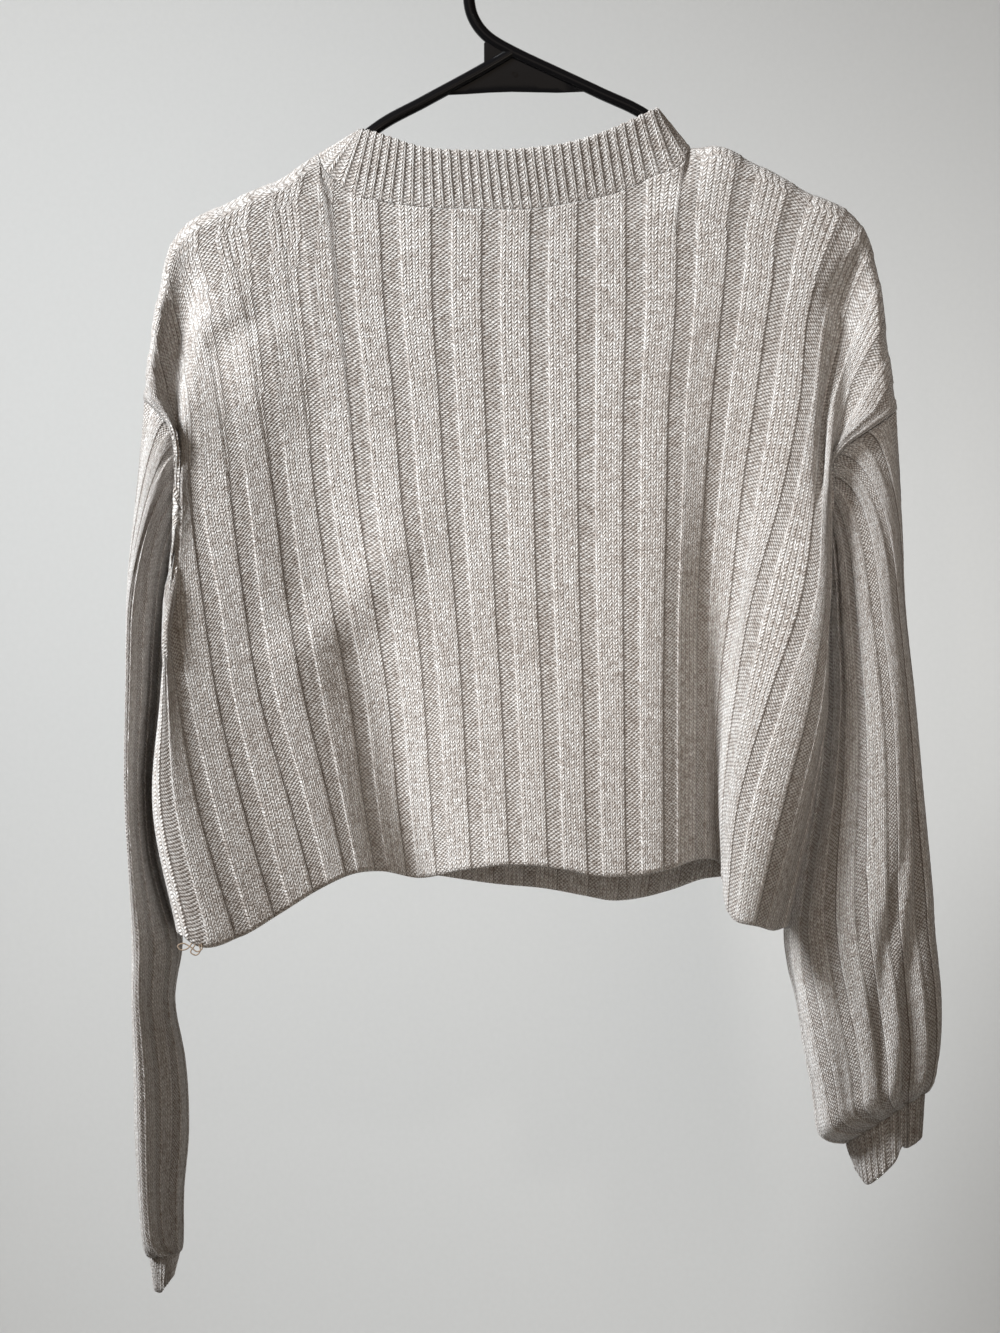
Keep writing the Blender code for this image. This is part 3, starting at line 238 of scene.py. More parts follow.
# Upper edge of the neckband: turn, x, drop, y.
bandEdge = (
    (0.00, -100, 115.5, 0), (0.02, -99, 115.5, -6.5), (0.045, -92, 117, -9), (0.08, -80, 121, -11),
    (0.14, -57, 128, -12.5), (0.21, -26, 130, -13), (0.28, 5, 129, -13), (0.35, 36, 125, -13),
    (0.41, 62, 117, -12), (0.46, 84, 107, -9.5), (0.48, 93, 102.5, -7), (0.50, 95, 101.5, 0),
    (0.52, 94, 104.5, 7), (0.545, 89.5, 115, 9.5), (0.575, 81, 132, 11), (0.61, 66, 149, 12.5),
    (0.65, 45, 163, 13.5), (0.70, 19, 174, 14.5), (0.75, -5, 177, 15), (0.80, -30, 174, 14.5),
    (0.85, -56, 164, 13.5), (0.895, -76, 149, 12), (0.93, -88, 135, 10.5), (0.955, -94.5, 125, 9),
    (0.98, -99, 117.5, 6.5), (1.00, -100, 115.5, 0),
)

# Centre line of the two arms from the left end of the bar to the right: x, drop.
armLine = (
    (-203, 199.1), (-206, 199.0), (-209.6, 197), (-211, 192), (-208.5, 186.5), (-202, 182),
    (-184, 172.5), (-165, 163.5), (-149, 155.5), (-139, 148.5), (-130, 144), (-120, 142),
    (-110, 137.5), (-102, 128.5), (-95, 119.5), (-87, 113.2), (-57, 96.6), (-12, 71.8),
    (0, 64.5), (14, 71.0), (57, 91), (86, 105), (95, 111.5), (103, 122.5), (109, 133),
    (116, 138), (124, 138.5), (133, 137), (145, 140.5), (158, 147), (182, 160), (206, 173),
    (213, 177.5), (216, 183.5), (214, 189.5), (210, 193), (207, 193.2),
)


def curve(stations, values, at):
    # a smooth line through values at the stations, read at any places
    stations = np.asarray(stations, float)
    values = np.asarray(values, float)
    at = np.asarray(at, float)
    flat = (-1,) + (1,) * at.ndim
    if values.ndim == 1:
        values = np.broadcast_to(values.reshape(flat), values.shape + at.shape)
    span = np.diff(stations).reshape(flat)
    rise = np.diff(values, axis=0) / span
    bend = (rise[:-1] * span[1:] + rise[1:] * span[:-1]) / (span[:-1] + span[1:])
    slope = np.concatenate([rise[:1], bend, rise[-1:]])
    index = np.clip(np.searchsorted(stations, at) - 1, 0, len(stations) - 2)
    start, end, startSlope, endSlope = (
        np.take_along_axis(rows, index[None] + step, 0)[0]
        for rows in (values, slope) for step in (0, 1))
    length = stations[index + 1] - stations[index]
    t = np.clip((at - stations[index]) / length, 0.0, 1.0)
    return (start * (2 * t**3 - 3 * t**2 + 1) + startSlope * length * (t**3 - 2 * t**2 + t)
            + end * (3 * t**2 - 2 * t**3) + endSlope * length * (t**3 - t**2))


def column(table, index):
    return [row[index] for row in table]


def readTable(table, index, at):
    return curve(column(table, 0), column(table, index), at)


def smoothStep(t):
    t = np.clip(t, 0.0, 1.0)
    return t * t * (3 - 2 * t)


def comesIn(drop, start, length):
    return smoothStep((drop - start) / length)


def hump(across, middle, width):
    return np.exp(-(((across - middle) / width) ** 2))


def spreadOut(across, share):
    return np.broadcast_arrays(np.asarray(across, float), np.asarray(share, float))


def unit(vectors):
    return vectors / np.maximum(np.linalg.norm(vectors, axis=-1, keepdims=True), 1e-9)


def foldDepth(folds, across, drop):
    total = np.zeros_like(across)
    for firstAcross, firstDrop, lastAcross, lastDrop, width, first, last, fade in folds:
        inside = np.clip(drop, min(firstDrop, lastDrop), max(firstDrop, lastDrop))
        share = (inside - firstDrop) / (lastDrop - firstDrop)
        middle = firstAcross + (lastAcross - firstAcross) * share
        depth = first + (last - first) * share
        total = total + depth * hump(drop, inside, fade) * hump(across, middle, width)
    return total


def waleX(wale, drop):
    line = wale if wale.ndim < 2 else wale[0]  # every row of a grid holds the same wales
    rows = [np.broadcast_to(curve(waleColumns, row[1:], line), wale.shape)
            for row in backSections]
    return curve(column(backSections, 0), np.array(rows), drop)


def topEdge(wale, neck, index):
    left, middle, right = (readTable(table, index, wale)
                           for table in (leftShoulder, neck, rightShoulder))
    return np.where(wale > rightNeckWale, right, np.where(wale < leftNeckWale, left, middle))


def sideEdge(wale, drop, index):
    return np.where(wale < middleWale, readTable(leftArmhole, index, drop),
                    readTable(rightArmhole, index, drop))


def armholeTop(wale, index):
    return np.where(wale < middleWale, leftShoulder[0][index], rightShoulder[-1][index])


def panelX(wale, drop, topX, topDrop, isBack):
    x = waleX(wale, drop)
    if not isBack:
        leftX, rightX = (waleX(np.full_like(wale, seam), drop)
                         for seam in (leftSeamWale, rightSeamWale))
        spread = (wale - leftSeamWale) / (rightSeamWale - leftSeamWale)
        x = x + (leftX + (rightX - leftX) * spread - x) * comesIn(drop, *evenWales)
    x = x + (topX - waleX(wale, topDrop)) * np.exp(-(drop - topDrop) / shoulderSettle)
    # beside the armhole the wales lean over to its edge
    seamWale = np.where(wale < middleWale, leftSeamWale, rightSeamWale)
    seamTopX, seamTopDrop = (armholeTop(wale, index) for index in (1, 2))
    seamX = waleX(seamWale, drop) + (seamTopX - waleX(seamWale, seamTopDrop)) * np.exp(
        -np.maximum(drop - seamTopDrop, 0.0) / shoulderSettle)
    nearSeam = smoothStep(1 - np.abs(wale - seamWale) / armholeReachWales)
    lean = np.where(drop > seamTopDrop, (sideEdge(wale, drop, 1) - seamX) * nearSeam, 0.0)
    return x + lean * (1 - comesIn(drop, *armholeEnds))


def sideFullness(wale, across, drop, isBack):
    # how far a panel stands out, from 1 in its middle to 0 at its side seams
    turned = comesIn(drop, *sideTurns)
    roundness = sideRoundness[0] + (sideRoundness[1] - sideRoundness[0]) * turned
    if isBack:
        onLobe = turned * smoothStep((middleWale - wale) / lobeWales)
        roundness = roundness + (lobeRoundness - roundness) * onLobe
    return (1 - np.clip(across, 0, 1) ** roundness) ** (1 / roundness)


def clearOfHanger(y, outward, fullness):
    least = panelClearance * fullness
    spare = outward * y - least
    soft = clearanceSoftness * fullness
    return outward * (least + 0.5 * (spare + np.sqrt(spare**2 + soft**2)))


def panelY(wale, drop, isBack):
    across = np.abs(wale - middleWale) / halfPanelWales
    fullness = sideFullness(wale, across, drop, isBack)
    outward = -1.0 if isBack else 1.0
    belly = readTable(bellyDepth, 1 if isBack else 2, drop)
    opening = np.where(drop > armholeTop(wale, 2), sideEdge(wale, drop, 2), 0.0)
    y = outward * (belly * fullness + opening * (1 - fullness))
    y = y + foldDepth(backFolds if isBack else frontFolds, wale, drop) * fullness
    if not isBack:
        flank = smoothStep(1 - 0.5 * (1 - across) / flankReach)
        y = y * (1 - flankDent * flank * comesIn(drop, *flankTurns))
    return clearOfHanger(y, outward, fullness)


def panelPoint(wale, share, isBack):
    wale, share = spreadOut(wale, share)
    topX, topDrop, topY = (topEdge(wale, backNeck if isBack else frontNeck, index)
                           for index in (1, 2, 3))
    drop = topDrop + (readTable(backHem if isBack else frontHem, 1, wale) - topDrop) * share
    # the cloth rounds over the shoulders, and leaves the neck more slowly
    below = drop - topDrop
    crest = np.sqrt(1 - (1 - np.clip(below / crestRadius, 0, 1)) ** 2)
    atNeck = smoothStep(np.abs(topY) / neckDepth)
    if isBack:
        fromCorner = np.minimum(np.abs(wale - leftNeckWale), np.abs(wale - rightNeckWale))
        atNeck = np.maximum(atNeck, cornerEase * smoothStep(1 - fromCorner / cornerWales))
    crest = crest + (smoothStep(below / neckSettle) - crest) * atNeck
    x = panelX(wale, drop, topX, topDrop, isBack)
    y = topY + (panelY(wale, drop, isBack) - topY) * crest
    return np.stack([x, y, -drop], axis=-1)


def squareTo(pointOf, low, high, across, share, fall):
    # square to a surface, from the places on both sides of each point
    fromSides = pointOf(high, share) - pointOf(low, share)
    down = (pointOf(across, np.clip(share + fall, 0, 1))
            - pointOf(across, np.clip(share - fall, 0, 1)))
    return unit(np.cross(fromSides, down))


def panelNormal(wale, share, isBack):
    wale, share = spreadOut(wale, share)
    low = np.clip(wale - normalWales, leftSeamWale, rightSeamWale)
    high = np.clip(wale + normalWales, leftSeamWale, rightSeamWale)
    atTop = share < topEdgeShare
    high = np.where(np.isclose(wale, leftNeckWale) & atTop, wale, high)
    low = np.where(np.isclose(wale, rightNeckWale) & atTop, wale, low)
    normal = squareTo(lambda w, s: panelPoint(w, s, isBack), low, high, wale, share, normalFall)
    return -normal if isBack else normal


def ringNormal(pointOf, turn, share, step=ringStep, fall=ringFall, centre=None):
    # square to a tube, away from its middle
    turn, share = spreadOut(turn, share)
    normal = squareTo(pointOf, (turn - step) % 1.0, (turn + step) % 1.0, turn, share, fall)
    section = pointOf(turn, share)
    middle = np.mean(section, axis=-2, keepdims=True) if centre is None else centre
    facing = np.sum(normal * (section - middle), axis=-1)
    return normal if np.mean(facing) > 0 else -normal


def halfWay(turn):
    # how far a turn is from the start of a ring, 1 at its far side
    return np.where(turn <= 0.5, turn, 1 - turn) / 0.5


def turnOf(half, isBack):
    return 0.5 * half if isBack else (1 - 0.5 * half) % 1.0


def bothHalves(turn, valuesOf):
    # the back gives the first half of a ring, and the front the other
    return np.where((turn <= 0.5)[..., None], valuesOf(True), valuesOf(False))


def armholeShare(turn):
    return halfWay(turn) * underarmShare


def armholeTurn(share, isBack):
    return turnOf(share / underarmShare, isBack)


def armholePoint(turn, seamWale):
    wale = np.full_like(turn, seamWale)
    return bothHalves(turn, lambda isBack: panelPoint(wale, armholeShare(turn), isBack))


def crotchNormal(line, side):
    normal = unit(np.cross(line[1] - line[0], np.array([0.0, 1.0, 0.0])))
    return normal * np.sign(normal[..., :1]) * np.sign(side["seamWale"])


def armholeNormals(turn, side):
    wale = np.full_like(turn, side["seamWale"])
    share = armholeShare(turn)
    back, front = (panelNormal(wale, share, isBack) for isBack in (True, False))
    body = bothHalves(turn, lambda isBack: back if isBack else front)
    body = np.where(np.isclose(turn % 0.5, 0)[..., None], unit(back + front), body)
    sleeve = sleeveNormal(turn, np.zeros_like(turn), side)
    crotch = np.isclose(turn, 0.5)[..., None]
    bodyFall, sleeveFall = underarmFalls
    onBody = [panelPoint(side["seamWale"], underarmShare + fall, True) for fall in (0.0, bodyFall)]
    onSleeve = [sleevePoint(0.5, fall, side) for fall in (0.0, sleeveFall)]
    body = np.where(crotch, crotchNormal(onBody, side), body)
    sleeve = np.where(crotch, -crotchNormal(onSleeve, side), sleeve)
    agreement = np.sum(body * sleeve, axis=-1, keepdims=True)
    blend = smoothStep(agreement + sharpSeam)
    return unit(body + blend * sleeve), unit(sleeve + blend * body)


def ringPoint(turn, outerX, innerX, outerDrop, innerDrop, middleY, halfDepth,
              ringPower=cuffPower):
    cosine = np.cos(2 * np.pi * turn)
    sine = np.sin(2 * np.pi * turn)
    out = np.sign(cosine) * np.abs(cosine) ** ringPower
    back = np.sign(sine) * np.abs(sine) ** ringPower
    x = 0.5 * (outerX + innerX) + 0.5 * (outerX - innerX) * out
    drop = 0.5 * (outerDrop + innerDrop) + 0.5 * (outerDrop - innerDrop) * out
    return np.stack([x, middleY - halfDepth * back, -drop], axis=-1)


def cuffRing(turn, side, edge):
    outerX, innerX, outerDrop, innerDrop, middleY, _ = side[edge]
    ring = ringPoint(turn, *side[edge])
    centre = np.array([0.5 * (outerX + innerX), middleY, -0.5 * (outerDrop + innerDrop)])
    dentTurn, dentWidth, dentDepth = side["cuffDent"]
    depth = dentDepth * hump(turn, dentTurn, dentWidth)
    return ring + unit(centre - ring) * depth[..., None]


def sleevePoint(turn, share, side):
    turn, share = spreadOut(turn, share)
    line = turn if turn.ndim < 2 else turn[0]
    top = np.broadcast_to(armholePoint(line, side["seamWale"]), turn.shape + (3,))
    end = cuffRing(turn, side, "cuffTop")
    topDrop = -top[..., 2]
    drop = topDrop + (-end[..., 2] - topDrop) * share
    outerX, innerX, backY, frontY, tuck = (readTable(side["sections"], index, drop)
                                           for index in range(1, 6))
    middleY = 0.5 * (backY + frontY)
    ring = ringPoint(turn, outerX, innerX, drop, drop, middleY, 0.5 * (frontY - backY),
                     side["ringPower"])
    lean, leanStart, leanFull = side["lean"]
    leanTo = outerX if lean > 0 else innerX
    lean = abs(lean) * comesIn(drop, leanStart, leanFull - leanStart)
    ring[..., 0] += (leanTo - ring[..., 0]) * lean * np.clip(np.sin(2 * np.pi * turn), 0, 1) ** 2
    ring[..., 0] += -np.sign(side["seamWale"]) * tuck * hump(turn, *side["tuck"])
    centre = np.stack([0.5 * (outerX + innerX), middleY, -drop], axis=-1)
    ring = ring + unit(centre - ring) * foldDepth(side["folds"], turn, drop)[..., None]
    settle = 1 - (1 - np.clip(share / sleeveSettle, 0, 1)) ** 2
    point = top + (ring - top) * settle[..., None]
    gather = np.clip((share - sleeveGather) / (1 - sleeveGather), 0, 1)
    closing = (1 - np.sqrt(np.maximum(1 - gather**2, 0)))[..., None]
    point = point + (end - point) * closing
    point[..., 2] -= side["bulge"] * np.sin(np.pi * gather) * (1 - gather)
    return point


def sleeveNormal(turn, share, side):
    return ringNormal(lambda t, s: sleevePoint(t, s, side), turn, share)


def cuffPoint(turn, share, side):
    turn, share = spreadOut(turn, share)
    top = cuffRing(turn, side, "cuffTop")
    return top + (cuffRing(turn, side, "cuffEnd") - top) * share[..., None]


def cuffNormal(turn, share, side):
    return ringNormal(lambda t, s: cuffPoint(t, s, side), turn, share, fall=wholeWay)


def bandWale(turn):
    return leftNeckWale + (rightNeckWale - leftNeckWale) * halfWay(turn)


def bandTurn(wale, isBack):
    return turnOf((wale - leftNeckWale) / (rightNeckWale - leftNeckWale), isBack)


def bandPoint(turn, share):
    turn, share = spreadOut(turn, share)
    line = turn if turn.ndim < 2 else turn[0]
    wale = bandWale(line)
    seam = bothHalves(line, lambda isBack: panelPoint(wale, np.zeros_like(wale), isBack))
    seam = np.broadcast_to(seam, turn.shape + (3,))
    edge = np.stack([readTable(bandEdge, 1, turn), readTable(bandEdge, 3, turn),
                     -readTable(bandEdge, 2, turn)], axis=-1)
    return seam + (edge - seam) * share[..., None]


def bandNormal(turn, share):
    return ringNormal(bandPoint, turn, share, ringFall, wholeWay, np.array(bandCentre))


def squareIn(edge, beside):
    along = unit(np.gradient(edge, axis=0))
    inward = beside - edge
    return unit(inward - np.sum(inward * along, axis=-1, keepdims=True) * along)


def pullBack(grid, lastRow=False, sideColumns=False):
    # leaves half a seam's gap along the edges that meet another piece
    moved = grid.copy()
    half = 0.5 * seamGap
    moved[0] += squareIn(grid[0], grid[1]) * half
    if lastRow:
        moved[-1] += squareIn(grid[-1], grid[-2]) * half
    if sideColumns:
        moved[:, 0] += squareIn(grid[:, 0], grid[:, 1]) * half
        moved[:, -1] += squareIn(grid[:, -1], grid[:, -2]) * half
    return moved


# Sizes of the knit that every piece shares, in millimetres and ribs
knitting = {
    "wall": 2.0,  # thickness of the cloth
    "wale": 3.2,  # width of one column of stitches
    "course": 2.5,  # height of one row of stitches
    "walesPerRib": 8,  # three purl wales and five knit wales
    "columnsPerRib": 16,
    "ribRaise": 0.76,  # how far the knit ribs stand out
    "uneven": 0.07,  # how much the height of a stitch wanders
    "lip": 0.9,  # how far a free edge rolls past its last row
    "lipStitches": 0.6,
    "sharpDegrees": 70,  # edges steeper than this are shaded sharp
}

# Height of a wide rib by the distance from the middle of its channel, in ribs
wideRibProfile = (
    (0.0, 0.05), (0.0625, -0.08), (0.125, 0.05), (0.165, -0.10), (0.19, 0.20),
    (0.215, 0.78), (0.25, 1.0), (0.3125, 0.80), (0.375, 1.0), (0.4375, 0.80), (0.5, 1.0),
)
ribShoulder = 0.215
# Height of a fine rib by the distance from its ridge, in ribs
fineRibProfile = (
    (0.0, 0.84), (0.09, 1.0), (0.2, 0.72), (0.29, 0.05), (0.36, -0.12), (0.5, 0.10),
)
seamRise = 0.2  # part of a fine rib's height in the row beside a seam
fineRibStations = (0.0, 0.09, 0.2, 0.29, 0.36, 0.5, 0.64, 0.71, 0.8, 0.91)


def ribHeight(profile, across):
    return np.interp(np.abs(across - np.round(across)), column(profile, 0), column(profile, 1))


def joinStations(stations, corners, room):
    # keeps every corner and drops the stations that crowd one
    kept = [s for s in stations if min(abs(s - c) for c in corners) > room]
    return np.array(sorted(kept + list(corners)))


def pickEvery(count, step, *dense):
    # indices for the plain inner side: every step-th station, and each one in the dense ranges
    picked = set(range(0, count, step)) | {count - 1}
    for start, end in dense:
        picked |= set(range(start, end))
    return np.array(sorted(picked))


def columnPeriod(stitches):
    # stitches around a closed piece, rounded up to whole wide ribs
    step = stitches[0, -1, 0] - stitches[0, 0, 0]
    return round(step / knitting["walesPerRib"] + 0.49) * knitting["walesPerRib"]


def stitchMap(across, grid, upwards=1):
    # stitches across, and rows of stitches from the lower edge, measured along the cloth
    steps = np.linalg.norm(np.diff(grid, axis=0), axis=-1)
    fromTop = np.concatenate([np.zeros((1, grid.shape[1])), np.cumsum(steps, axis=0)])
    courses = upwards * (fromTop[-1:] - fromTop) / knitting["course"]
    return np.stack([np.broadcast_to(across, courses.shape), courses], axis=-1)


def unevenStitches(name, size, closed):
    # how far each stitch stands out of line, but not at the edges
    uneven = np.random.default_rng(len(name)).normal(0, knitting["uneven"], size)
    uneven[:2] = 0
    uneven[-2:] = 0
    if closed:
        uneven[:, -1] = uneven[:, 0]
    else:
        uneven[:, :2] = 0
        uneven[:, -2:] = 0
    return uneven


def rolledEdge(base, normals):
    out = unit(base[-1] - base[-2])
    return base[-1] + out * knitting["lip"] - normals[-1] * 0.5 * knitting["wall"]


def knitShell(name, base, normals, raised, stitches, rowPick, columnPick,
              closed=True, rolled=True, pull=None):
    # a closed shell: a finely knit outer side, a plain inner side and a rolled free edge
    columns = raised.shape[1]
    inside = np.ix_(rowPick, columnPick)
    outer = base + normals * (raised + unevenStitches(name, raised.shape, closed))[..., None]
    inner = base[inside] - normals[inside] * knitting["wall"]
    pull = np.zeros_like(raised) if pull is None else pull
    uvOuter = stitches
    pullOuter = pull
    if rolled:
        outer = np.concatenate([outer, rolledEdge(base, normals)[None]])
        past = (stitches[-1:] - stitches[-2:-1]) * knitting["lipStitches"]
        uvOuter = np.concatenate([stitches, stitches[-1:] + past])
        pullOuter = np.concatenate([pull, pull[-1:]])
    period = np.array([columnPeriod(stitches) if closed else 0.0, 0.0])
    faces = []
    faceUvs = []

    def cornersOf(start, uvs):
        # number and stitch of a point, counting on past a full turn
        count = uvs.shape[1]
        return lambda row, across: (start + row * count + across % count,
                                    uvs[row, across % count] + period * (across // count))

    def addFace(corners, flip):
        corners = corners[::-1] if flip else corners
        faces.append([corner[0] for corner in corners])
        faceUvs.extend(corner[1] for corner in corners)

    def weave(corner, rowCount, columnCount, flip):
        for row in range(rowCount - 1):
            for across in range(columnCount if closed else columnCount - 1):
                addFace([corner(row, across), corner(row, across + 1),
                         corner(row + 1, across + 1), corner(row + 1, across)], flip)

    def seal(outerSteps, innerSteps, outerAt, innerAt, flip):
        # triangles between two lines of stations that share their numbering
        i = j = 0
        while i < len(outerSteps) - 1 or j < len(innerSteps) - 1:
            takeOuter = j == len(innerSteps) - 1 or (
                i < len(outerSteps) - 1 and outerSteps[i + 1] <= innerSteps[j + 1])
            if takeOuter:
                addFace([outerAt(i), outerAt(i + 1), innerAt(j)], flip)
                i += 1
            else:
                addFace([outerAt(i), innerAt(j + 1), innerAt(j)], flip)
                j += 1

    outerRows = len(outer)
    innerRows, innerColumns = inner.shape[:2]
    outerCorner = cornersOf(0, uvOuter)
    innerCorner = cornersOf(outerRows * columns, stitches[inside])
    weave(outerCorner, outerRows, columns, False)
    weave(innerCorner, innerRows, innerColumns, True)
    across = range(columns + closed)
    acrossInner = list(columnPick) + [columns] * closed
    for outerRow, innerRow, flip in ((0, 0, True), (outerRows - 1, innerRows - 1, False)):
        seal(across, acrossInner, lambda i: outerCorner(outerRow, i),
             lambda j: innerCorner(innerRow, j), flip)
    if not closed:
        for last, lastInner, flip in ((0, 0, False), (columns - 1, innerColumns - 1, True)):
            seal(range(outerRows), rowPick, lambda i: outerCorner(i, last),
                 lambda j: innerCorner(j, lastInner), flip)

    points = np.concatenate([outer.reshape(-1, 3), inner.reshape(-1, 3)])
    allPull = np.concatenate([pullOuter.ravel(), pull[inside].ravel()])
    return clothMesh(name, points, faces, faceUvs, allPull)


def clothMesh(name, points, faces, stitches, pulled):
    mesh = bpy.data.meshes.new(name)
    mesh.from_pydata((points * mm).tolist(), [], faces)
    layer = mesh.uv_layers.new(name="stitches")
    layer.data.foreach_set("uv", np.array(stitches, np.float32).ravel())
    layer = mesh.attributes.new("pulled", "FLOAT", "POINT")
    layer.data.foreach_set("value", pulled.astype(np.float32))
    shape = bmesh.new()
    shape.from_mesh(mesh)
    bmesh.ops.recalc_face_normals(shape, faces=shape.faces)
    limit = math.radians(knitting["sharpDegrees"])
    for face in shape.faces:
        face.smooth = True
    for edge in shape.edges:
        if len(edge.link_faces) == 2 and edge.calc_face_angle(0.0) > limit:
            edge.smooth = False
    shape.to_mesh(mesh)
    shape.free()
    print(name, len(mesh.polygons), "faces")
    return placed(name, mesh)


def placed(name, data):
    made = bpy.data.objects.new(name, data)
    bpy.context.scene.collection.objects.link(made)
    return made


# Body: two panels that meet at the shoulders and sides
bodyPanels = {
    "rows": 180,
    "armholeRows": 52,
    "topShares": (0.0, 0.0008, 0.0022, 0.0042, 0.0075),  # rows close under the top edge
    "armholeStart": 0.0107,
    "cornerRoom": 0.02,  # no column stands closer to a corner of the neck, in ribs
    "pullReach": 38.0,  # the weight on the shoulders draws stitches open this far down
    "pullWales": (3.2, 1.2),
    "deepTurn": 2.2,  # cloth this much longer than its wales gets more of them
    "innerSteps": (5, 9),  # the plain inner side keeps each so many rows and columns
    "innerEdges": (6, 12),  # and all of those along the top and the sides
    "neckRise": (0.0, 0.3, 0.7),  # part of a rib's height in the first rows under the neck
    "back": {"name": "backPanel", "node": "body_back", "slot": "back_knit"},
    "front": {"name": "frontPanel", "node": "body_front", "slot": "front_knit"},
}


def fineWales():
    fine = knitting["columnsPerRib"]
    wales = [k / fine for k in range(int(fine * leftSeamWale), int(fine * rightSeamWale) + 1)]
    for channel in range(math.ceil(leftSeamWale), math.floor(rightSeamWale) + 1):
        wales += [channel - ribShoulder, channel + ribShoulder]
    return joinStations(wales, (leftNeckWale, rightNeckWale), bodyPanels["cornerRoom"])


def fineShares():
    rows = bodyPanels["armholeRows"]
    armhole = np.linspace(bodyPanels["armholeStart"], underarmShare, rows)
    below = np.linspace(underarmShare, 1.0, bodyPanels["rows"] - rows)
    return np.concatenate([bodyPanels["topShares"], armhole, below[1:]])


@functools.cache
def panelFrame(isBack):
    wales = fineWales()
    shares = fineShares()
    wale, share = np.meshgrid(wales, shares)
    grid = panelPoint(wale, share, isBack)
    normals = panelNormal(wale, share, isBack)
    other = panelNormal(wale, share, not isBack)
    shoulder = (share == 0) & ((wale <= leftNeckWale) | (wale >= rightNeckWale))
    side = ((wale == leftSeamWale) | (wale == rightSeamWale)) & (share > underarmShare)
    normals = np.where((shoulder | side)[..., None], unit(normals + other), normals)
    inArmhole = shares <= underarmShare
    turns = armholeTurn(shares[inArmhole], isBack)
    normals[inArmhole, 0] = armholeNormals(turns, sides["left"])[0]
    normals[inArmhole, -1] = armholeNormals(turns, sides["right"])[0]
    inNeck = (wales >= leftNeckWale) & (wales <= rightNeckWale)
    band = bandNormal(bandTurn(wales[inNeck], isBack), np.zeros(inNeck.sum()))
    normals[0, inNeck] = unit(normals[0, inNeck] + band)
    return wales, shares, grid, normals


def shoulderPull(wales, base):
    # how far the stitches are drawn open by the weight on the shoulders, from 0 to 1
    below = base[0, :, 2][None] - base[..., 2]
    start, length = bodyPanels["pullWales"]
    onShoulder = smoothStep((np.abs(wales - middleWale) - start) / length)[None]
    return hump(below, 0, bodyPanels["pullReach"]) * onShoulder


def stitchesAcross(wales, grid):
    # eight to a rib, and more where the cloth turns deep round the side of the body
    steps = np.linalg.norm(np.diff(grid, axis=1), axis=-1) / knitting["wale"]
    plain = knitting["walesPerRib"] * np.diff(wales)
    added = np.where(steps > bodyPanels["deepTurn"] * plain, steps - plain, 0.0)
    middle = len(wales) // 2
    extra = np.zeros(grid.shape[:2])
    extra[:, middle + 1:] = np.cumsum(added[:, middle:], axis=1)
    extra[:, :middle] = -np.cumsum(added[:, :middle][:, ::-1], axis=1)[:, ::-1]
    return knitting["walesPerRib"] * wales + 0.5 + extra


def bodyPanel(isBack):
    look = bodyPanels["back" if isBack else "front"]
    wales, shares, grid, normals = panelFrame(isBack)
    grid = pullBack(grid, sideColumns=True)
    raised = np.tile(knitting["ribRaise"] * ribHeight(wideRibProfile, wales), (len(shares), 1))
    raised[shares <= underarmShare, 0] = 0
    raised[shares <= underarmShare, -1] = 0
    inNeck = (wales >= leftNeckWale) & (wales <= rightNeckWale)
    raised[:3, inNeck] *= np.array(bodyPanels["neckRise"])[:, None]
    rowStep, columnStep = bodyPanels["innerSteps"]
    top, side = bodyPanels["innerEdges"]
    count = len(wales)
    return knitShell(look["name"], grid, normals, raised,
                     stitchMap(stitchesAcross(wales, grid), grid),
                     pickEvery(len(shares), rowStep, (0, top)),
                     pickEvery(count, columnStep, (0, side), (count - side, count)),
                     closed=False, pull=shoulderPull(wales, grid))


def alongEdge(at, stations, points):
    return np.stack([np.interp(at, stations, points[:, axis]) for axis in range(3)], axis=-1)


def seamOf(turns, at, edgeOf):
    # points and directions of the panels' edges at these turns of a ring
    def halfOf(kind):
        def values(isBack):
            stations, *edge = edgeOf(isBack)
            return alongEdge(at, stations, edge[kind])
        return values
    return [bothHalves(turns, halfOf(kind)) for kind in (0, 1)]


# Sleeves: wide ribs run down them, and they gather into the cuffs
sleeveLooks = {
    "rows": 200,
    "gatherRows": 28,
    "gatherShare": 0.07,  # last part of the way down, where the rows crowd
    "ribs": 13,
    "ribStart": 0.15,
    "cornerRoom": 0.0008,  # no column stands closer to the underarm, in turns
    "raise": 1.0,  # how far the knit ribs stand out
    "topRise": (0.0, 0.3, 0.6, 0.85),  # part of that height in the rows beside the body
    "settle": 0.16,  # part of the way down over which the wales become even
    "innerSteps": (6, 5),
    "innerEdges": (4, 26),
    "evenPlaces": 481,  # places round the arm where its girth is measured
    "crotch": 0.06,  # turns on each side of the underarm that ease away from it
    # the ribs wind round the arm by this part of a turn on their way down
    "left": {"name": "leftSleeve", "node": "sleeve_left", "winding": -0.02},
    "right": {"name": "rightSleeve", "node": "sleeve_right", "winding": -0.11},
    "slot": "sleeve_knit",
}


def sleeveTurns():
    count = sleeveLooks["ribs"]
    fine = knitting["columnsPerRib"]
    ribs = [k / fine for k in range(fine * count)]
    for rib in range(count):
        ribs += [(rib - ribShoulder) % count, rib + ribShoulder]
    return joinStations(np.array(sorted(ribs)) / count, (0.5,), sleeveLooks["cornerRoom"])


def sleeveShares():
    start = 1 - sleeveLooks["gatherShare"]
    upper = np.linspace(0.0, start, sleeveLooks["rows"])
    turned = np.sin(np.linspace(0, 0.5 * np.pi, sleeveLooks["gatherRows"]))
    return np.concatenate([upper, (start + sleeveLooks["gatherShare"] * turned)[1:]])


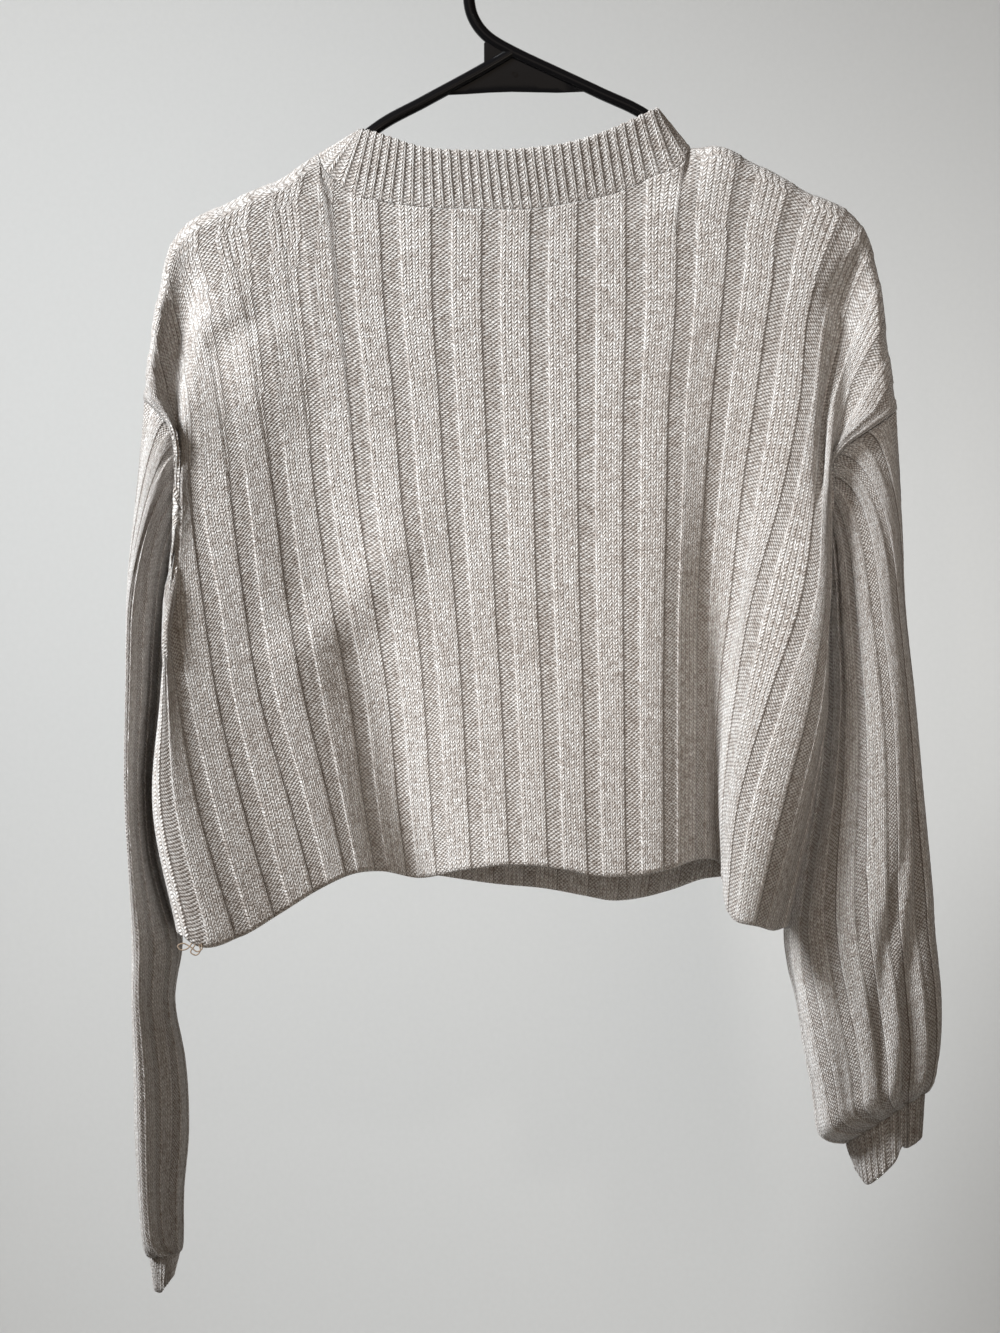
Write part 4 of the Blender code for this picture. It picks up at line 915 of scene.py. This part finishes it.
def sleeveSeam(turns, side):
    columnIndex = 0 if side["seamWale"] == leftSeamWale else -1

    def edgeOf(isBack):
        _, shares, grid, _ = panelFrame(isBack)
        inArmhole = shares <= underarmShare
        stations = shares[inArmhole]
        normals = armholeNormals(armholeTurn(stations, isBack), side)[1]
        return stations, grid[inArmhole, columnIndex], normals

    return seamOf(turns, armholeShare(turns), edgeOf)


def evenTurns(turns, shares, side, winding):
    # turns that space the wales evenly round the arm, away from the armhole
    dense = np.linspace(0, 1, sleeveLooks["evenPlaces"])
    rings = sleevePoint(dense[None, :], shares[:, None], side)
    steps = np.linalg.norm(np.diff(rings, axis=1), axis=-1)
    even = np.empty((len(shares), len(turns)))
    for row, share in enumerate(shares):
        along = np.concatenate([[0.0], np.cumsum(steps[row])])
        whole = turns + winding * share
        spaced = np.interp(whole % 1.0, along / along[-1], dense) + np.floor(whole)
        even[row] = turns + (spaced - turns) * smoothStep(share / sleeveLooks["settle"])
    return even % 1.0


def sleeve(sideName):
    side = sides[sideName]
    look = sleeveLooks[sideName]
    turns = sleeveTurns()
    shares = sleeveShares()
    wound = evenTurns(turns, shares, side, look["winding"])
    share = np.broadcast_to(shares[:, None], wound.shape)
    grid = sleevePoint(wound, share, side)
    normals = sleeveNormal(wound, share, side)
    grid[0], normals[0] = sleeveSeam(turns, side)
    crotch = np.abs(turns - 0.5) < sleeveLooks["crotch"]
    outwards = np.sign(side["seamWale"]) * crotchEase
    grid[0, crotch] += np.array([outwards, 0.0, -crotchEase])
    normals[-1] = unit(normals[-1] + cuffNormal(wound[-1], np.zeros_like(turns), side))
    grid = pullBack(grid, lastRow=True)
    ribs = turns * sleeveLooks["ribs"] - sleeveLooks["ribStart"]
    raised = np.tile(sleeveLooks["raise"] * ribHeight(wideRibProfile, ribs), (len(shares), 1))
    raised[:4] *= np.array(sleeveLooks["topRise"])[:, None]
    rows = len(shares)
    top, end = sleeveLooks["innerEdges"]
    rowStep, columnStep = sleeveLooks["innerSteps"]
    return knitShell(look["name"], grid, normals, raised,
                     stitchMap(knitting["walesPerRib"] * ribs + 0.5, grid),
                     pickEvery(rows, rowStep, (0, top), (rows - end, rows)),
                     np.arange(0, len(turns) - 1, columnStep), rolled=False)


# Cuffs: a fine one by one rib
cuffLooks = {
    "rows": 13,
    "innerRows": 3,
    "innerTurns": 4,
    "raise": 0.6,
    # where the free edge hangs longer: x, reach and by how much
    "left": {"name": "leftCuff", "node": "cuff_left",
             "edge": ((-219, 4, -5), (-228, 3, 1.5))},
    "right": {"name": "rightCuff", "node": "cuff_right",
              "edge": ((240, 22, 7.5), (223, 5, -14), (254, 2.5, -5), (266, 6, 4))},
    "slot": "cuff_knit",
}


def fineGrid(look, count, pointOf, normalOf):
    # stations, points, directions and rib heights of a fine rib that runs round a ring
    turns = np.array([(rib + part) / count for rib in range(count) for part in fineRibStations])
    turn, share = np.meshgrid(turns, np.linspace(0, 1, look["rows"]))
    raised = np.tile(look["raise"] * ribHeight(fineRibProfile, turns * count),
                     (look["rows"], 1))
    raised[0] *= seamRise
    return turns, share, pointOf(turn, share), normalOf(turn, share), raised


def fineShell(name, look, count, turns, grid, normals, raised, upwards):
    return knitShell(name, grid, normals, raised, stitchMap(2 * turns * count, grid, upwards),
                     pickEvery(look["rows"], look["innerRows"]),
                     np.arange(0, len(turns), look["innerTurns"]))


def cuffSeam(turns, side):
    columns = sleeveTurns()
    ends = np.ones_like(columns)
    points = sleevePoint(columns, ends, side)
    directions = unit(sleeveNormal(columns, ends, side) + cuffNormal(columns, 0 * ends, side))
    columns = np.append(columns, 1.0)
    return [alongEdge(turns, columns, np.concatenate([values, values[:1]]))
            for values in (points, directions)]


def cuff(sideName):
    side = sides[sideName]
    look = cuffLooks[sideName]
    turns, share, grid, normals, raised = fineGrid(
        cuffLooks, cuffRibs, lambda t, s: cuffPoint(t, s, side),
        lambda t, s: cuffNormal(t, s, side))
    for x, reach, longer in look["edge"]:
        grid[..., 2] -= share * longer * hump(grid[..., 0], x, reach)
    grid[0], normals[0] = cuffSeam(turns, side)
    return fineShell(look["name"], cuffLooks, cuffRibs, turns, pullBack(grid), normals, raised, 1)


# Neckband: a fine rib linked to the neck edge by a chain, with a scalloped free edge
bandLook = {"name": "neckRib", "node": "neckband", "slot": "neckband_knit", "rows": 17,
            "innerRows": 4, "innerTurns": 4, "raise": 0.62, "scallop": 0.7,
            # height of the chain, the part of it that is flat, and the ribs beside it
            "chain": 0.7, "chainFlat": 0.6, "besideChain": 0.3}


def bandSeam(turns):
    def edgeOf(isBack):
        wales, _, grid, normals = panelFrame(isBack)
        return wales, grid[0], normals[0]
    return seamOf(turns, bandWale(turns), edgeOf)


def neckband():
    turns, _, grid, normals, raised = fineGrid(bandLook, bandRibs, bandPoint, bandNormal)
    grid[0], normals[0] = bandSeam(turns)
    grid = pullBack(grid)
    ridge = ribHeight(fineRibProfile, turns * bandRibs)
    flat = bandLook["chainFlat"]
    raised[1] = bandLook["chain"] * (flat + (1 - flat) * ridge)
    raised[2] *= bandLook["besideChain"]
    grid[-1] += unit(grid[-1] - grid[-2]) * (bandLook["scallop"] * ridge)[:, None]
    return fineShell(bandLook["name"], bandLook, bandRibs, turns, grid, normals, raised, -1)


def operator(operation, swapped=False):
    def work(self, other):
        return self.maths(operation, *((other, self) if swapped else (self, other)))
    return work


# Shader sums written as plain Python: a wire is one output of one node
class Wire:
    def __init__(self, tree, socket=None):
        self.tree = tree
        self.socket = socket

    def node(self, kind, settings=None, inputs=None, out=0):
        made = self.tree.nodes.new("ShaderNode" + kind)
        for key, value in (settings or {}).items():
            if key == "stops":
                ramp = made.color_ramp
                while len(ramp.elements) < len(value):
                    ramp.elements.new(1.0)
                for element, (at, colour) in zip(ramp.elements, value):
                    element.position = at
                    element.color = colour
            else:
                setattr(made, key, value)
        for key, value in (inputs or {}).items():
            if isinstance(value, Wire):
                self.tree.links.new(value.socket, made.inputs[key])
            else:
                made.inputs[key].default_value = value
        return Wire(self.tree, made.outputs[out])

    def maths(self, operation, *values):
        return self.node("Math", {"operation": operation}, dict(enumerate(values)))

    __add__, __radd__ = operator("ADD"), operator("ADD", True)
    __sub__, __rsub__ = operator("SUBTRACT"), operator("SUBTRACT", True)
    __mul__, __rmul__ = operator("MULTIPLY"), operator("MULTIPLY", True)
    __pow__ = operator("POWER")
    __gt__, __lt__ = operator("GREATER_THAN"), operator("LESS_THAN")
    __mod__ = operator("FLOORED_MODULO")

    def wave(self):
        # half a cosine's height, once for each whole number
        return self.maths("COSINE", self * (2 * math.pi)) * 0.5

    def lineAt(self, place, width):
        fromLine = (self - place) * (1 / width)
        return self.maths("EXPONENT", 0.0 - fromLine * fromLine)

    def between(self, first, second):
        return first + self * (second - first)

    def mix(self, first, second):
        # colours between first and second, by this wire
        return self.node("Mix", {"data_type": "RGBA"}, {0: self, 6: first, 7: second}, out=2)

    def place(self):
        return self.node("TexCoord", out=3)

    def noise(self, scale, detail, roughness=0.5):
        # unevenness at this place
        return self.node("TexNoise", None, {"Vector": self, "Scale": scale, "Detail": detail,
                                            "Roughness": roughness})

    def bump(self, strength, depth):
        return self.node("Bump", None, {"Strength": strength, "Distance": depth * mm,
                                        "Height": self})

    def into(self, shader, name):
        self.tree.links.new(self.socket, shader.inputs[name])


yarn = {
    "tones": (  # marl of the yarn, from its darkest fibre to its lightest
        (0.26, (0.40, 0.345, 0.31, 1)), (0.40, (0.62, 0.57, 0.53, 1)),
        (0.50, (0.80, 0.76, 0.725, 1)), (0.60, (0.88, 0.855, 0.825, 1)),
        (0.74, (0.97, 0.955, 0.94, 1)),
    ),
    "plainTone": (0.56, 0.51, 0.46, 1),
    "gapShade": (0.10, 0.078, 0.062, 1),  # painted shade in the gaps between the stitches
    "gapShadeShare": 0.90,
    "gapShadePower": 1.25,
    # painted shade line where a knit rib drops into its purl channel: the wales to one rib, its
    # place, width and darkness
    "wideCreaseShade": (8.0, 7.06, 0.15, 0.26),
    "fineCreaseShade": (2.0, 1.06, 0.16, 0.16),
    "sleeveShadeDepth": 1.9,  # painted shade in the sleeves' creases and purl channels is this much stronger than on the body
    # the painted shade darkens a stitch at most this much
    "darkest": 0.95,
    "knitWales": (2.0, 7.0),  # where the knit wales of a wide rib begin and end
    "channel": 0.07,  # painted shade that darkens the recessed purl wales
    "slant": 0.85,  # courses that a stitch's leg climbs over half a wale
    "gapPower": (3.6, 1.8),  # narrowness of the gaps, and how much less where pulled open
    "gapDepth": (0.85, 0.1),
    "middle": (6.0, 0.45),  # narrowness and depth of the line between two legs
    "knitStrand": (0.32, 0.68),  # lowest part of a leg, and how far it rises from there
    "purlBump": (0.55, 0.74),  # roundness and height of a purl bump
    "ripple": (0.9, 0.8),  # how far wander and looseness move a course
    "purlRipple": 0.8,
    "shift": 0.25,  # how far looseness moves a wale
    "fuzz": 0.35,
    "bump": 0.95,  # depth of a stitch, mm
    # unevenness: its scale, detail and roughness
    "wander": (95.0, 1.0), "loose": (420.0, 1.0), "fibre": (900.0, 2.0, 0.7),
    "cloud": (22.0, 2.0), "speck": (1.0, 3.0, 0.7),
    "speckSize": (0.33, 1.05),  # across a wale and along a course
    # how much each adds to the marl: one stitch's own tone, specks, fibres, clouds
    "marl": (0.26, 0.55, 0.3, 0.15),
    "finish": {"Roughness": 0.93, "Sheen Weight": 0.25, "Sheen Roughness": 0.6,
               "Specular IOR Level": 0.25},
    "looseTones": ((0.20, 0.14, 0.09, 1), (0.42, 0.33, 0.25, 1)),
    "looseFibre": (900.0, 2.0),
    "looseFinish": {"Roughness": 0.93},
}


def newMaterial(name, finish):
    material = bpy.data.materials.new(name)
    material.use_nodes = True
    shader = material.node_tree.nodes["Principled BSDF"]
    for key, value in finish.items():
        shader.inputs[key].default_value = value
    return material, Wire(material.node_tree), shader


def knitLegs(leg, phase, pulled):
    # a knit wale is two slanting legs with a gap on either side of it
    gapPower, wider = yarn["gapPower"]
    gapDepth, deeper = yarn["gapDepth"]
    gap = leg ** (gapPower - pulled * wider) * (pulled * deeper + gapDepth)
    power, depth = yarn["middle"]
    lowest, rise = yarn["knitStrand"]
    return ((0.5 - phase.wave()) * rise + lowest) * (1.0 - gap) * (
        1.0 - (1.0 - leg) ** power * depth)


def purlBumps(across, phase):
    # a purl wale is a pile of short bumps, each one laid between two of the next wale
    beside = across.wave() + 0.5
    strand = 0.5 - phase.wave()
    roundness, rise = yarn["purlBump"]
    head = strand * beside ** roundness
    foot = (1.0 - strand) * (1.0 - beside) ** roundness
    return phase.maths("MAXIMUM", head, foot) * rise


def marlOf(place, across, up, stitch, fibre):
    # every leg has its own tone, on marl that runs along the courses
    speckWidth, speckHeight = yarn["speckSize"]
    along = place.node("CombineXYZ", None, {0: across * speckWidth, 1: up * speckHeight, 2: 0.0})
    ofStitch, ofSpeck, ofFibre, ofCloud = yarn["marl"]
    mixed = ((stitch - 0.5) * ofStitch + along.noise(*yarn["speck"]) * ofSpeck
             + fibre * ofFibre + place.noise(*yarn["cloud"]) * ofCloud)
    return place.node("ValToRGB", {"stops": yarn["tones"]}, {0: mixed})


def knitFinish(name, wide, depth=1.0):
    # depth: how much stronger than on the body the painted shade of the creases and purl channels
    # is
    material, wire, shader = newMaterial(name, yarn["finish"])
    material.diffuse_color = yarn["plainTone"]
    place = wire.place()
    uv = wire.node("UVMap", {"uv_map": "stitches"})
    across, up = (wire.node("SeparateXYZ", None, {0: uv}, out=axis) for axis in (0, 1))
    pulled = wire.node("Attribute", {"attribute_name": "pulled"}, out=2)
    wander = place.noise(*yarn["wander"]) - 0.5
    loose = place.noise(*yarn["loose"]) - 0.5
    ripple = wander * yarn["ripple"][0] + loose * yarn["ripple"][1]
    shifted = across + loose * yarn["shift"]
    leg = wire.maths("ABSOLUTE", wire.maths("FRACT", shifted) * 2.0 - 1.0)
    knitPhase = up + ripple - leg * yarn["slant"]
    knitHeight = knitLegs(leg, knitPhase, pulled)
    purlPhase = up + ripple * yarn["purlRipple"]
    purlHeight = purlBumps(shifted, purlPhase)

    wales, creasePlace, creaseWidth, creaseShadeStrength = yarn["wideCreaseShade" if wide else "fineCreaseShade"]
    if wide:
        inRib = across % wales
        start, end = yarn["knitWales"]
        isKnit = (inRib > start) * (inRib < end)
    else:
        inRib = (across + 0.5) % wales
        isKnit = inRib < 1.0
    # a painted shade line along the edge of each knit rib
    creaseShade = inRib.lineAt(creasePlace, creaseWidth) * (creaseShadeStrength * depth)
    height = isKnit.between(purlHeight, knitHeight)
    cell = wire.node("CombineXYZ", None, {
        0: wire.maths("FLOOR", shifted * 2.0),
        1: wire.maths("FLOOR", isKnit.between(purlPhase, knitPhase)), 2: 0.0})
    stitch = wire.node("TexWhiteNoise", {"noise_dimensions": "2D"}, {0: cell})
    fibre = place.noise(*yarn["fibre"])
    marl = marlOf(place, across, up, stitch, fibre)
    # painted shade: the base colour darkens in the gaps between stitches, where the relief is low
    gapShade = wire.maths("MAXIMUM", 1.0 - height, 0.0) ** yarn["gapShadePower"]
    channelShade = (1.0 - isKnit) * (yarn["channel"] * depth)
    # all painted shade together, mixed into the base colour
    paintedShade = wire.maths("MINIMUM", gapShade * yarn["gapShadeShare"] + creaseShade + channelShade,
                      yarn["darkest"])
    paintedShade.mix(marl, yarn["gapShade"]).into(shader, "Base Color")
    (height + (fibre - 0.5) * yarn["fuzz"]).bump(1.0, yarn["bump"]).into(shader, "Normal")
    return material


def yarnFinish():
    material, wire, shader = newMaterial("looseYarn", yarn["looseFinish"])
    fibre = wire.place().noise(*yarn["looseFibre"])
    fibre.mix(*yarn["looseTones"]).into(shader, "Base Color")
    return material


plasticLook = {
    "tones": ((0.0035, 0.0035, 0.004, 1), (0.006, 0.006, 0.007, 1)),  # plain and worn
    "roughness": (0.05, 0.17),
    "finish": {"IOR": 1.5, "Specular IOR Level": 0.24},
    "rub": (60.0, 4.0), "scratch": (900.0, 2.0),  # scale and detail of the wear
    "wear": (0.1, 0.8),  # how softly the two meet, and how much shows
    "scratchBump": (0.25, 0.05),  # strength and depth, mm
}


def hangerFinish():
    material, wire, shader = newMaterial("blackPlastic", plasticLook["finish"])
    place = wire.place()
    rub = place.noise(*plasticLook["rub"])
    scratch = place.noise(*plasticLook["scratch"])
    soft, shown = plasticLook["wear"]
    wear = wire.maths("SMOOTH_MIN", rub, scratch, soft) * shown
    low, high = plasticLook["roughness"]
    (rub * (high - low) + low).into(shader, "Roughness")
    wear.mix(*plasticLook["tones"]).into(shader, "Base Color")
    scratch.bump(*plasticLook["scratchBump"]).into(shader, "Normal")
    return material


# The hanger, from rods and plates of black plastic. Lines give x and drop in millimetres.
hangerLook = {
    "rod": 4.0,  # radius of the arms
    "hookRod": 3.9,
    "hookRadius": 28.0,
    "hookCentreDrop": 24.1,
    "hookTipDegrees": 2.0,  # where the unseen tip of the hook ends, from the right
    "hookStepDegrees": 7.5,
    "tipRound": 0.6,  # bevel of the hook's ends, as a part of its radius
    "sides": 5,  # roundness of a rod
    "plate": 3.2,  # thickness of the web
    "hubPlate": 4.6,
    "plateBevel": 0.6,
    "dimple": (1.3, 78.7, 1.7),  # x, drop and radius of the moulding mark on the web
    "dimpleWall": 0.5,
    "dimpleHeight": 1.2,
    "dimpleSides": 24,
    "armSpacing": 4.0,  # between the points of a rod's line
    "hookSpacing": 3.0,
    "weld": 0.00002,  # metres
    "rodSmooth": 50,  # corners flatter than these degrees are shaded smooth
    "plateSmooth": 40,
}
# The hook's foot sweeps down into the right arm.
hookFoot = (
    (-28, 30), (-26.4, 39.0), (-22.8, 46.6), (-17.6, 52.9), (-11.0, 58.0), (-4.0, 62.0),
    (4.0, 66.1), (14, 71.0), (30, 78.4),
)
apexPlace = column(armLine, 0).index(0)
webTop = (
    (-45, 91.2), (-30, 82.1), (-15, 73.7), (0, 65.5), (15, 71.6), (30, 78.6), (50, 88.5),
)
webFoot = (
    (-45, 92.6), (-30, 91.9), (-15, 90.9), (0, 90.4), (15, 90.7), (30, 91.0), (50, 90.2),
)
hubOutline = (
    (-18.2, 58.4), (-18.2, 73.6), (-4, 67.5), (2, 65.0), (-6, 60.5), (-13, 56.0),
)
looseYarn = {
    "radius": 0.45,
    "spacing": 0.8,
    "depth": -100.0,  # y of the corner of the back hem
    "loops": (
        ((-204, 640), (-207, 643.5), (-211.5, 644.2), (-213, 641.8), (-210, 640.2),
         (-205, 642.4), (-200.5, 645.4), (-197.6, 643.6), (-198.2, 640.4)),
        ((-202, 641), (-204.8, 646.0), (-201.2, 647.6), (-198.8, 645.0), (-199.4, 641)),
    ),
}


def deselectAll():
    if bpy.context.mode != "OBJECT":
        bpy.ops.object.mode_set(mode="OBJECT")
    bpy.ops.object.select_all(action="DESELECT")


def editAll():
    bpy.ops.object.mode_set(mode="EDIT")
    bpy.ops.mesh.select_all(action="SELECT")


def editSome(piece, wanted):
    # selects the faces that the test picks, in edit mode
    editAll()
    bpy.ops.mesh.select_all(action="DESELECT")
    mesh = bmesh.from_edit_mesh(piece.data)
    for face in mesh.faces:
        face.select_set(wanted(face))
    bmesh.update_edit_mesh(piece.data)


def closeEdit(smoothDegrees):
    bpy.ops.object.mode_set(mode="OBJECT")
    bpy.ops.object.shade_smooth_by_angle(angle=math.radians(smoothDegrees))


def rodAlong(name, line, spacing, radius):
    # a rod through a line of x and drop, from points at an even spacing
    line = np.array(line, float)
    along = np.concatenate([[0], np.cumsum(np.hypot(*np.diff(line, axis=0).T))])
    at = np.linspace(0, along[-1], int(round(along[-1] / spacing)) + 1)
    line = np.stack([curve(along, line[:, axis], at) for axis in (0, 1)], axis=-1)
    deselectAll()
    bpy.ops.curve.primitive_nurbs_path_add(location=(0, 0, 0))
    rod = bpy.context.object
    rod.name = name
    shape = rod.data
    shape.splines.clear()
    spline = shape.splines.new("POLY")
    spline.points.add(len(line) - 1)
    for point, (x, drop) in zip(spline.points, line):
        point.co = (x * mm, 0, -drop * mm, 1)
    shape.bevel_depth = radius * mm
    shape.bevel_resolution = hangerLook["sides"]
    shape.use_fill_caps = True
    bpy.ops.object.convert(target="MESH")
    editAll()
    bpy.ops.mesh.remove_doubles(threshold=hangerLook["weld"])
    bpy.ops.mesh.normals_make_consistent(inside=False)
    closeEdit(hangerLook["rodSmooth"])
    return bpy.context.object


def joinInto(piece, *others):
    deselectAll()
    for part in (piece, *others):
        part.select_set(True)
    bpy.context.view_layer.objects.active = piece
    bpy.ops.object.join()
    return piece


def looseEnds():
    # two loops of yarn left at the lower left corner of the hem
    loops = []
    for place, line in enumerate(looseYarn["loops"]):
        loop = rodAlong("looseYarn%d" % place, line, looseYarn["spacing"], looseYarn["radius"])
        for vertex in loop.data.vertices:
            vertex.co.y += looseYarn["depth"] * mm
        loops.append(loop)
    return joinInto(*loops)


def layOut(vertices, line, thickness):
    for vertex, (x, drop) in zip(vertices, line):
        vertex.co = (x * mm, -0.5 * thickness * mm, -drop * mm)


def thickenPlate(plate, name, thickness):
    plate.name = name
    editAll()
    bpy.ops.mesh.extrude_region_move(
        TRANSFORM_OT_translate={"value": (0, thickness * mm, 0)})
    bpy.ops.mesh.select_all(action="SELECT")
    bpy.ops.mesh.normals_make_consistent(inside=False)
    bpy.ops.object.mode_set(mode="OBJECT")
    bevel = plate.modifiers.new("softEdges", "BEVEL")
    bevel.width = hangerLook["plateBevel"] * mm
    bevel.segments = 3
    bevel.limit_method = "ANGLE"
    bpy.ops.object.modifier_apply(modifier="softEdges")
    closeEdit(hangerLook["plateSmooth"])
    return plate


def webPlate():
    # a flat plate between an upper and a lower line, with bevelled edges
    half = len(webTop)
    thickness = hangerLook["plate"]
    deselectAll()
    bpy.ops.mesh.primitive_grid_add(x_subdivisions=half - 1, y_subdivisions=1, size=1)
    web = bpy.context.object
    rows = sorted(web.data.vertices, key=lambda v: (round(v.co.y, 3), v.co.x))
    layOut(rows[:half], webFoot, thickness)
    layOut(rows[half:], webTop, thickness)
    return thickenPlate(web, "hangerWeb", thickness)


def hubPlate():
    deselectAll()
    bpy.ops.mesh.primitive_circle_add(vertices=len(hubOutline), radius=0.01, fill_type="NGON")
    hub = bpy.context.object
    layOut(hub.data.vertices, hubOutline, hangerLook["hubPlate"])
    return thickenPlate(hub, "hangerHub", hangerLook["hubPlate"])


def mouldingMark():
    # a small cup that stands on the web
    x, drop, radius = hangerLook["dimple"]
    wall = hangerLook["dimpleWall"] * mm
    deselectAll()
    bpy.ops.mesh.primitive_cylinder_add(
        vertices=hangerLook["dimpleSides"], radius=radius * mm,
        depth=hangerLook["dimpleHeight"] * mm,
        location=(x * mm, -0.5 * hangerLook["plate"] * mm, -drop * mm),
        rotation=(math.radians(90), 0, 0))
    mark = bpy.context.object
    bpy.ops.object.transform_apply(location=True, rotation=True, scale=True)
    editSome(mark, lambda face: face.normal.y < -0.9)
    bpy.ops.mesh.inset(thickness=wall)
    bpy.ops.mesh.extrude_region_move(TRANSFORM_OT_translate={"value": (0, wall, 0)})
    closeEdit(hangerLook["plateSmooth"])
    return mark


def hangerHook():
    radius = hangerLook["hookRadius"]
    turns = np.radians(np.arange(hangerLook["hookTipDegrees"], 180.0,
                                 hangerLook["hookStepDegrees"]))
    ring = [(radius * math.cos(turn), hangerLook["hookCentreDrop"] - radius * math.sin(turn))
            for turn in turns]
    hook = rodAlong("hangerHook", ring + list(hookFoot), hangerLook["hookSpacing"],
                    hangerLook["hookRod"])
    editSome(hook, lambda face: len(face.verts) > 6)  # its two end caps
    bpy.ops.mesh.bevel(offset=hangerLook["tipRound"] * hangerLook["hookRod"] * mm, segments=3,
                       affect="EDGES")
    bpy.ops.object.mode_set(mode="OBJECT")
    return hook


def hangerArms():
    return joinInto(*(
        rodAlong(name, line, hangerLook["armSpacing"], hangerLook["rod"])
        for name, line in (("hangerArms", armLine[:apexPlace + 1]),
                           ("rightArm", armLine[apexPlace:]))))


studio = {
    "pixel": 0.65,  # millimetres of the garment in one pixel of a 1000 by 1333 frame
    "frame": (1000, 1333),
    "centre": (-7.8, -463.8),  # x and z at the middle of the frame
    "distance": 5000.0,
    "sensor": 36.0,
    # half a width in metres, then y and z of a sheet's near edge and of its far edge
    "backdrop": (4, (0.45, -1.35), (0.45, 2.6)),
    "floor": (6, (-8, -1.35), (6, -1.35)),
    "grain": (260.0, 3.0),
    "wallTones": ((0.54, 0.54, 0.53, 1), (0.57, 0.57, 0.56, 1)),
    "wallFinish": {"Roughness": 0.8, "Specular IOR Level": 0.2},
    "room": ((1.0, 0.84, 0.69, 1), 0.14),
}
# Lights: name, kind, where it stands, what it points at, power, colour; then the size of a
# panel, or the cone and radius of a spot
lights = (
    ("windowLight", "SPOT", (-2.15, -1.18, 1.3), (-0.16, 0.1, -0.38), 860, (0.935, 0.97, 1.0),
     40, 0.40),
    ("roomLight", "AREA", (-0.6, -3.6, 0.5), (0, 0, -0.45), 7, (1.0, 0.85, 0.72), 2.4, 2.0),
    ("sideFill", "SPOT", (0.9, -2.6, 0.5), (0.25, 0, -0.33), 85, (1.0, 0.96, 0.92), 13, 0.15),
    ("hemFill", "SPOT", (-0.15, -2.8, -1.1), (0.0, 0, -0.52), 55, (1.0, 0.91, 0.82), 11, 0.15),
    ("floorBounce", "AREA", (0.9, -2.6, -0.8), (0.12, 0, -0.35), 4, (1.0, 0.85, 0.72),
     0.8, 0.8),
)


def oneSided(material):
    # shows from its front alone, so that a camera behind the backdrop still sees the sweater
    tree = material.node_tree
    output = next(node for node in tree.nodes if node.type == "OUTPUT_MATERIAL")
    facing = Wire(tree).node("NewGeometry", out=6)
    solid = Wire(tree, output.inputs["Surface"].links[0].from_socket)
    clear = facing.node("BsdfTransparent")
    shown = facing.node("MixShader", None, {0: facing, 1: solid, 2: clear})
    tree.links.new(shown.socket, output.inputs["Surface"])


def flatSheet(name, material):
    half, near, far = studio[name]
    mesh = bpy.data.meshes.new(name)
    mesh.from_pydata([(-half, *near), (half, *near), (half, *far), (-half, *far)], [],
                     [(0, 1, 2, 3)])
    mesh.materials.append(material)
    return placed(name, mesh)


def setCamera(scene):
    data = bpy.data.cameras.new("camera")
    data.sensor_width = studio["sensor"]
    data.lens = studio["sensor"] * studio["distance"] / (studio["frame"][1] * studio["pixel"])
    data.clip_end = 200.0
    scene.camera = placed("camera", data)
    x, z = studio["centre"]
    scene.camera.location = (x * mm, -studio["distance"] * mm, z * mm)
    scene.camera.rotation_euler = (math.radians(90), 0, 0)


def setStage():
    material, wire, shader = newMaterial("paleWall", studio["wallFinish"])
    grain = wire.place().noise(*studio["grain"])
    grain.mix(*studio["wallTones"]).into(shader, "Base Color")
    oneSided(material)
    backdrop = flatSheet("backdrop", material)
    floor = flatSheet("floor", material)


def setLights(scene):
    for name, kind, place, aim, power, colour, wide, tall in lights:
        light = bpy.data.lights.new(name, kind)
        light.energy = power
        light.color = colour
        if kind == "AREA":
            light.shape = "RECTANGLE"
            light.size = wide
            light.size_y = tall
        else:
            light.spot_size = math.radians(wide)
            light.spot_blend = 1.0
            light.shadow_soft_size = tall
        lamp = placed(name, light)
        lamp.location = place
        lamp.rotation_euler = (Vector(aim) - Vector(place)).to_track_quat("-Z", "Y").to_euler()
    world = bpy.data.worlds.new("room")
    scene.world = world
    world.use_nodes = True
    for socket, value in zip(world.node_tree.nodes["Background"].inputs, studio["room"]):
        socket.default_value = value
    scene.view_settings.view_transform = "Standard"


def giveFinish(piece, material, slot, *nodes):
    piece.data.materials.clear()
    piece.data.materials.append(material)
    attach(piece, "root")
    if nodes:
        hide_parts(*nodes)


wideKnit = knitFinish("wideRibKnit", True)
shadedSleeveKnit = knitFinish("shadedSleeveRibKnit", True, yarn["sleeveShadeDepth"])
fineKnit = knitFinish("fineRibKnit", False)
print("materials ready")


def finishKnit(piece, material, look, slot):
    giveFinish(piece, material, slot, look["node"])


for isBack, look in ((True, bodyPanels["back"]), (False, bodyPanels["front"])):
    finishKnit(bodyPanel(isBack), wideKnit, look, look["slot"])
for sideName in ("left", "right"):
    finishKnit(sleeve(sideName), shadedSleeveKnit, sleeveLooks[sideName], sleeveLooks["slot"])
    finishKnit(cuff(sideName), fineKnit, cuffLooks[sideName], cuffLooks["slot"])
finishKnit(neckband(), fineKnit, bandLook, bandLook["slot"])
print("knit pieces ready")

plastic = hangerFinish()
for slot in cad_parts["hanger_bar"].material_slots:
    slot.material = plastic
hangerParts = ((hangerHook(), "hanger_hook"), (hangerArms(), "hanger_arms"),
               (joinInto(webPlate(), mouldingMark()), "hanger_web"), (hubPlate(), "hanger_hub"))
for part, node in hangerParts:
    giveFinish(part, plastic, "hanger_plastic", node)
print("hanger ready")
giveFinish(looseEnds(), yarnFinish(), "back_knit")

setCamera(bpy.context.scene)
setStage()
setLights(bpy.context.scene)
print("camera, stage and lights ready")
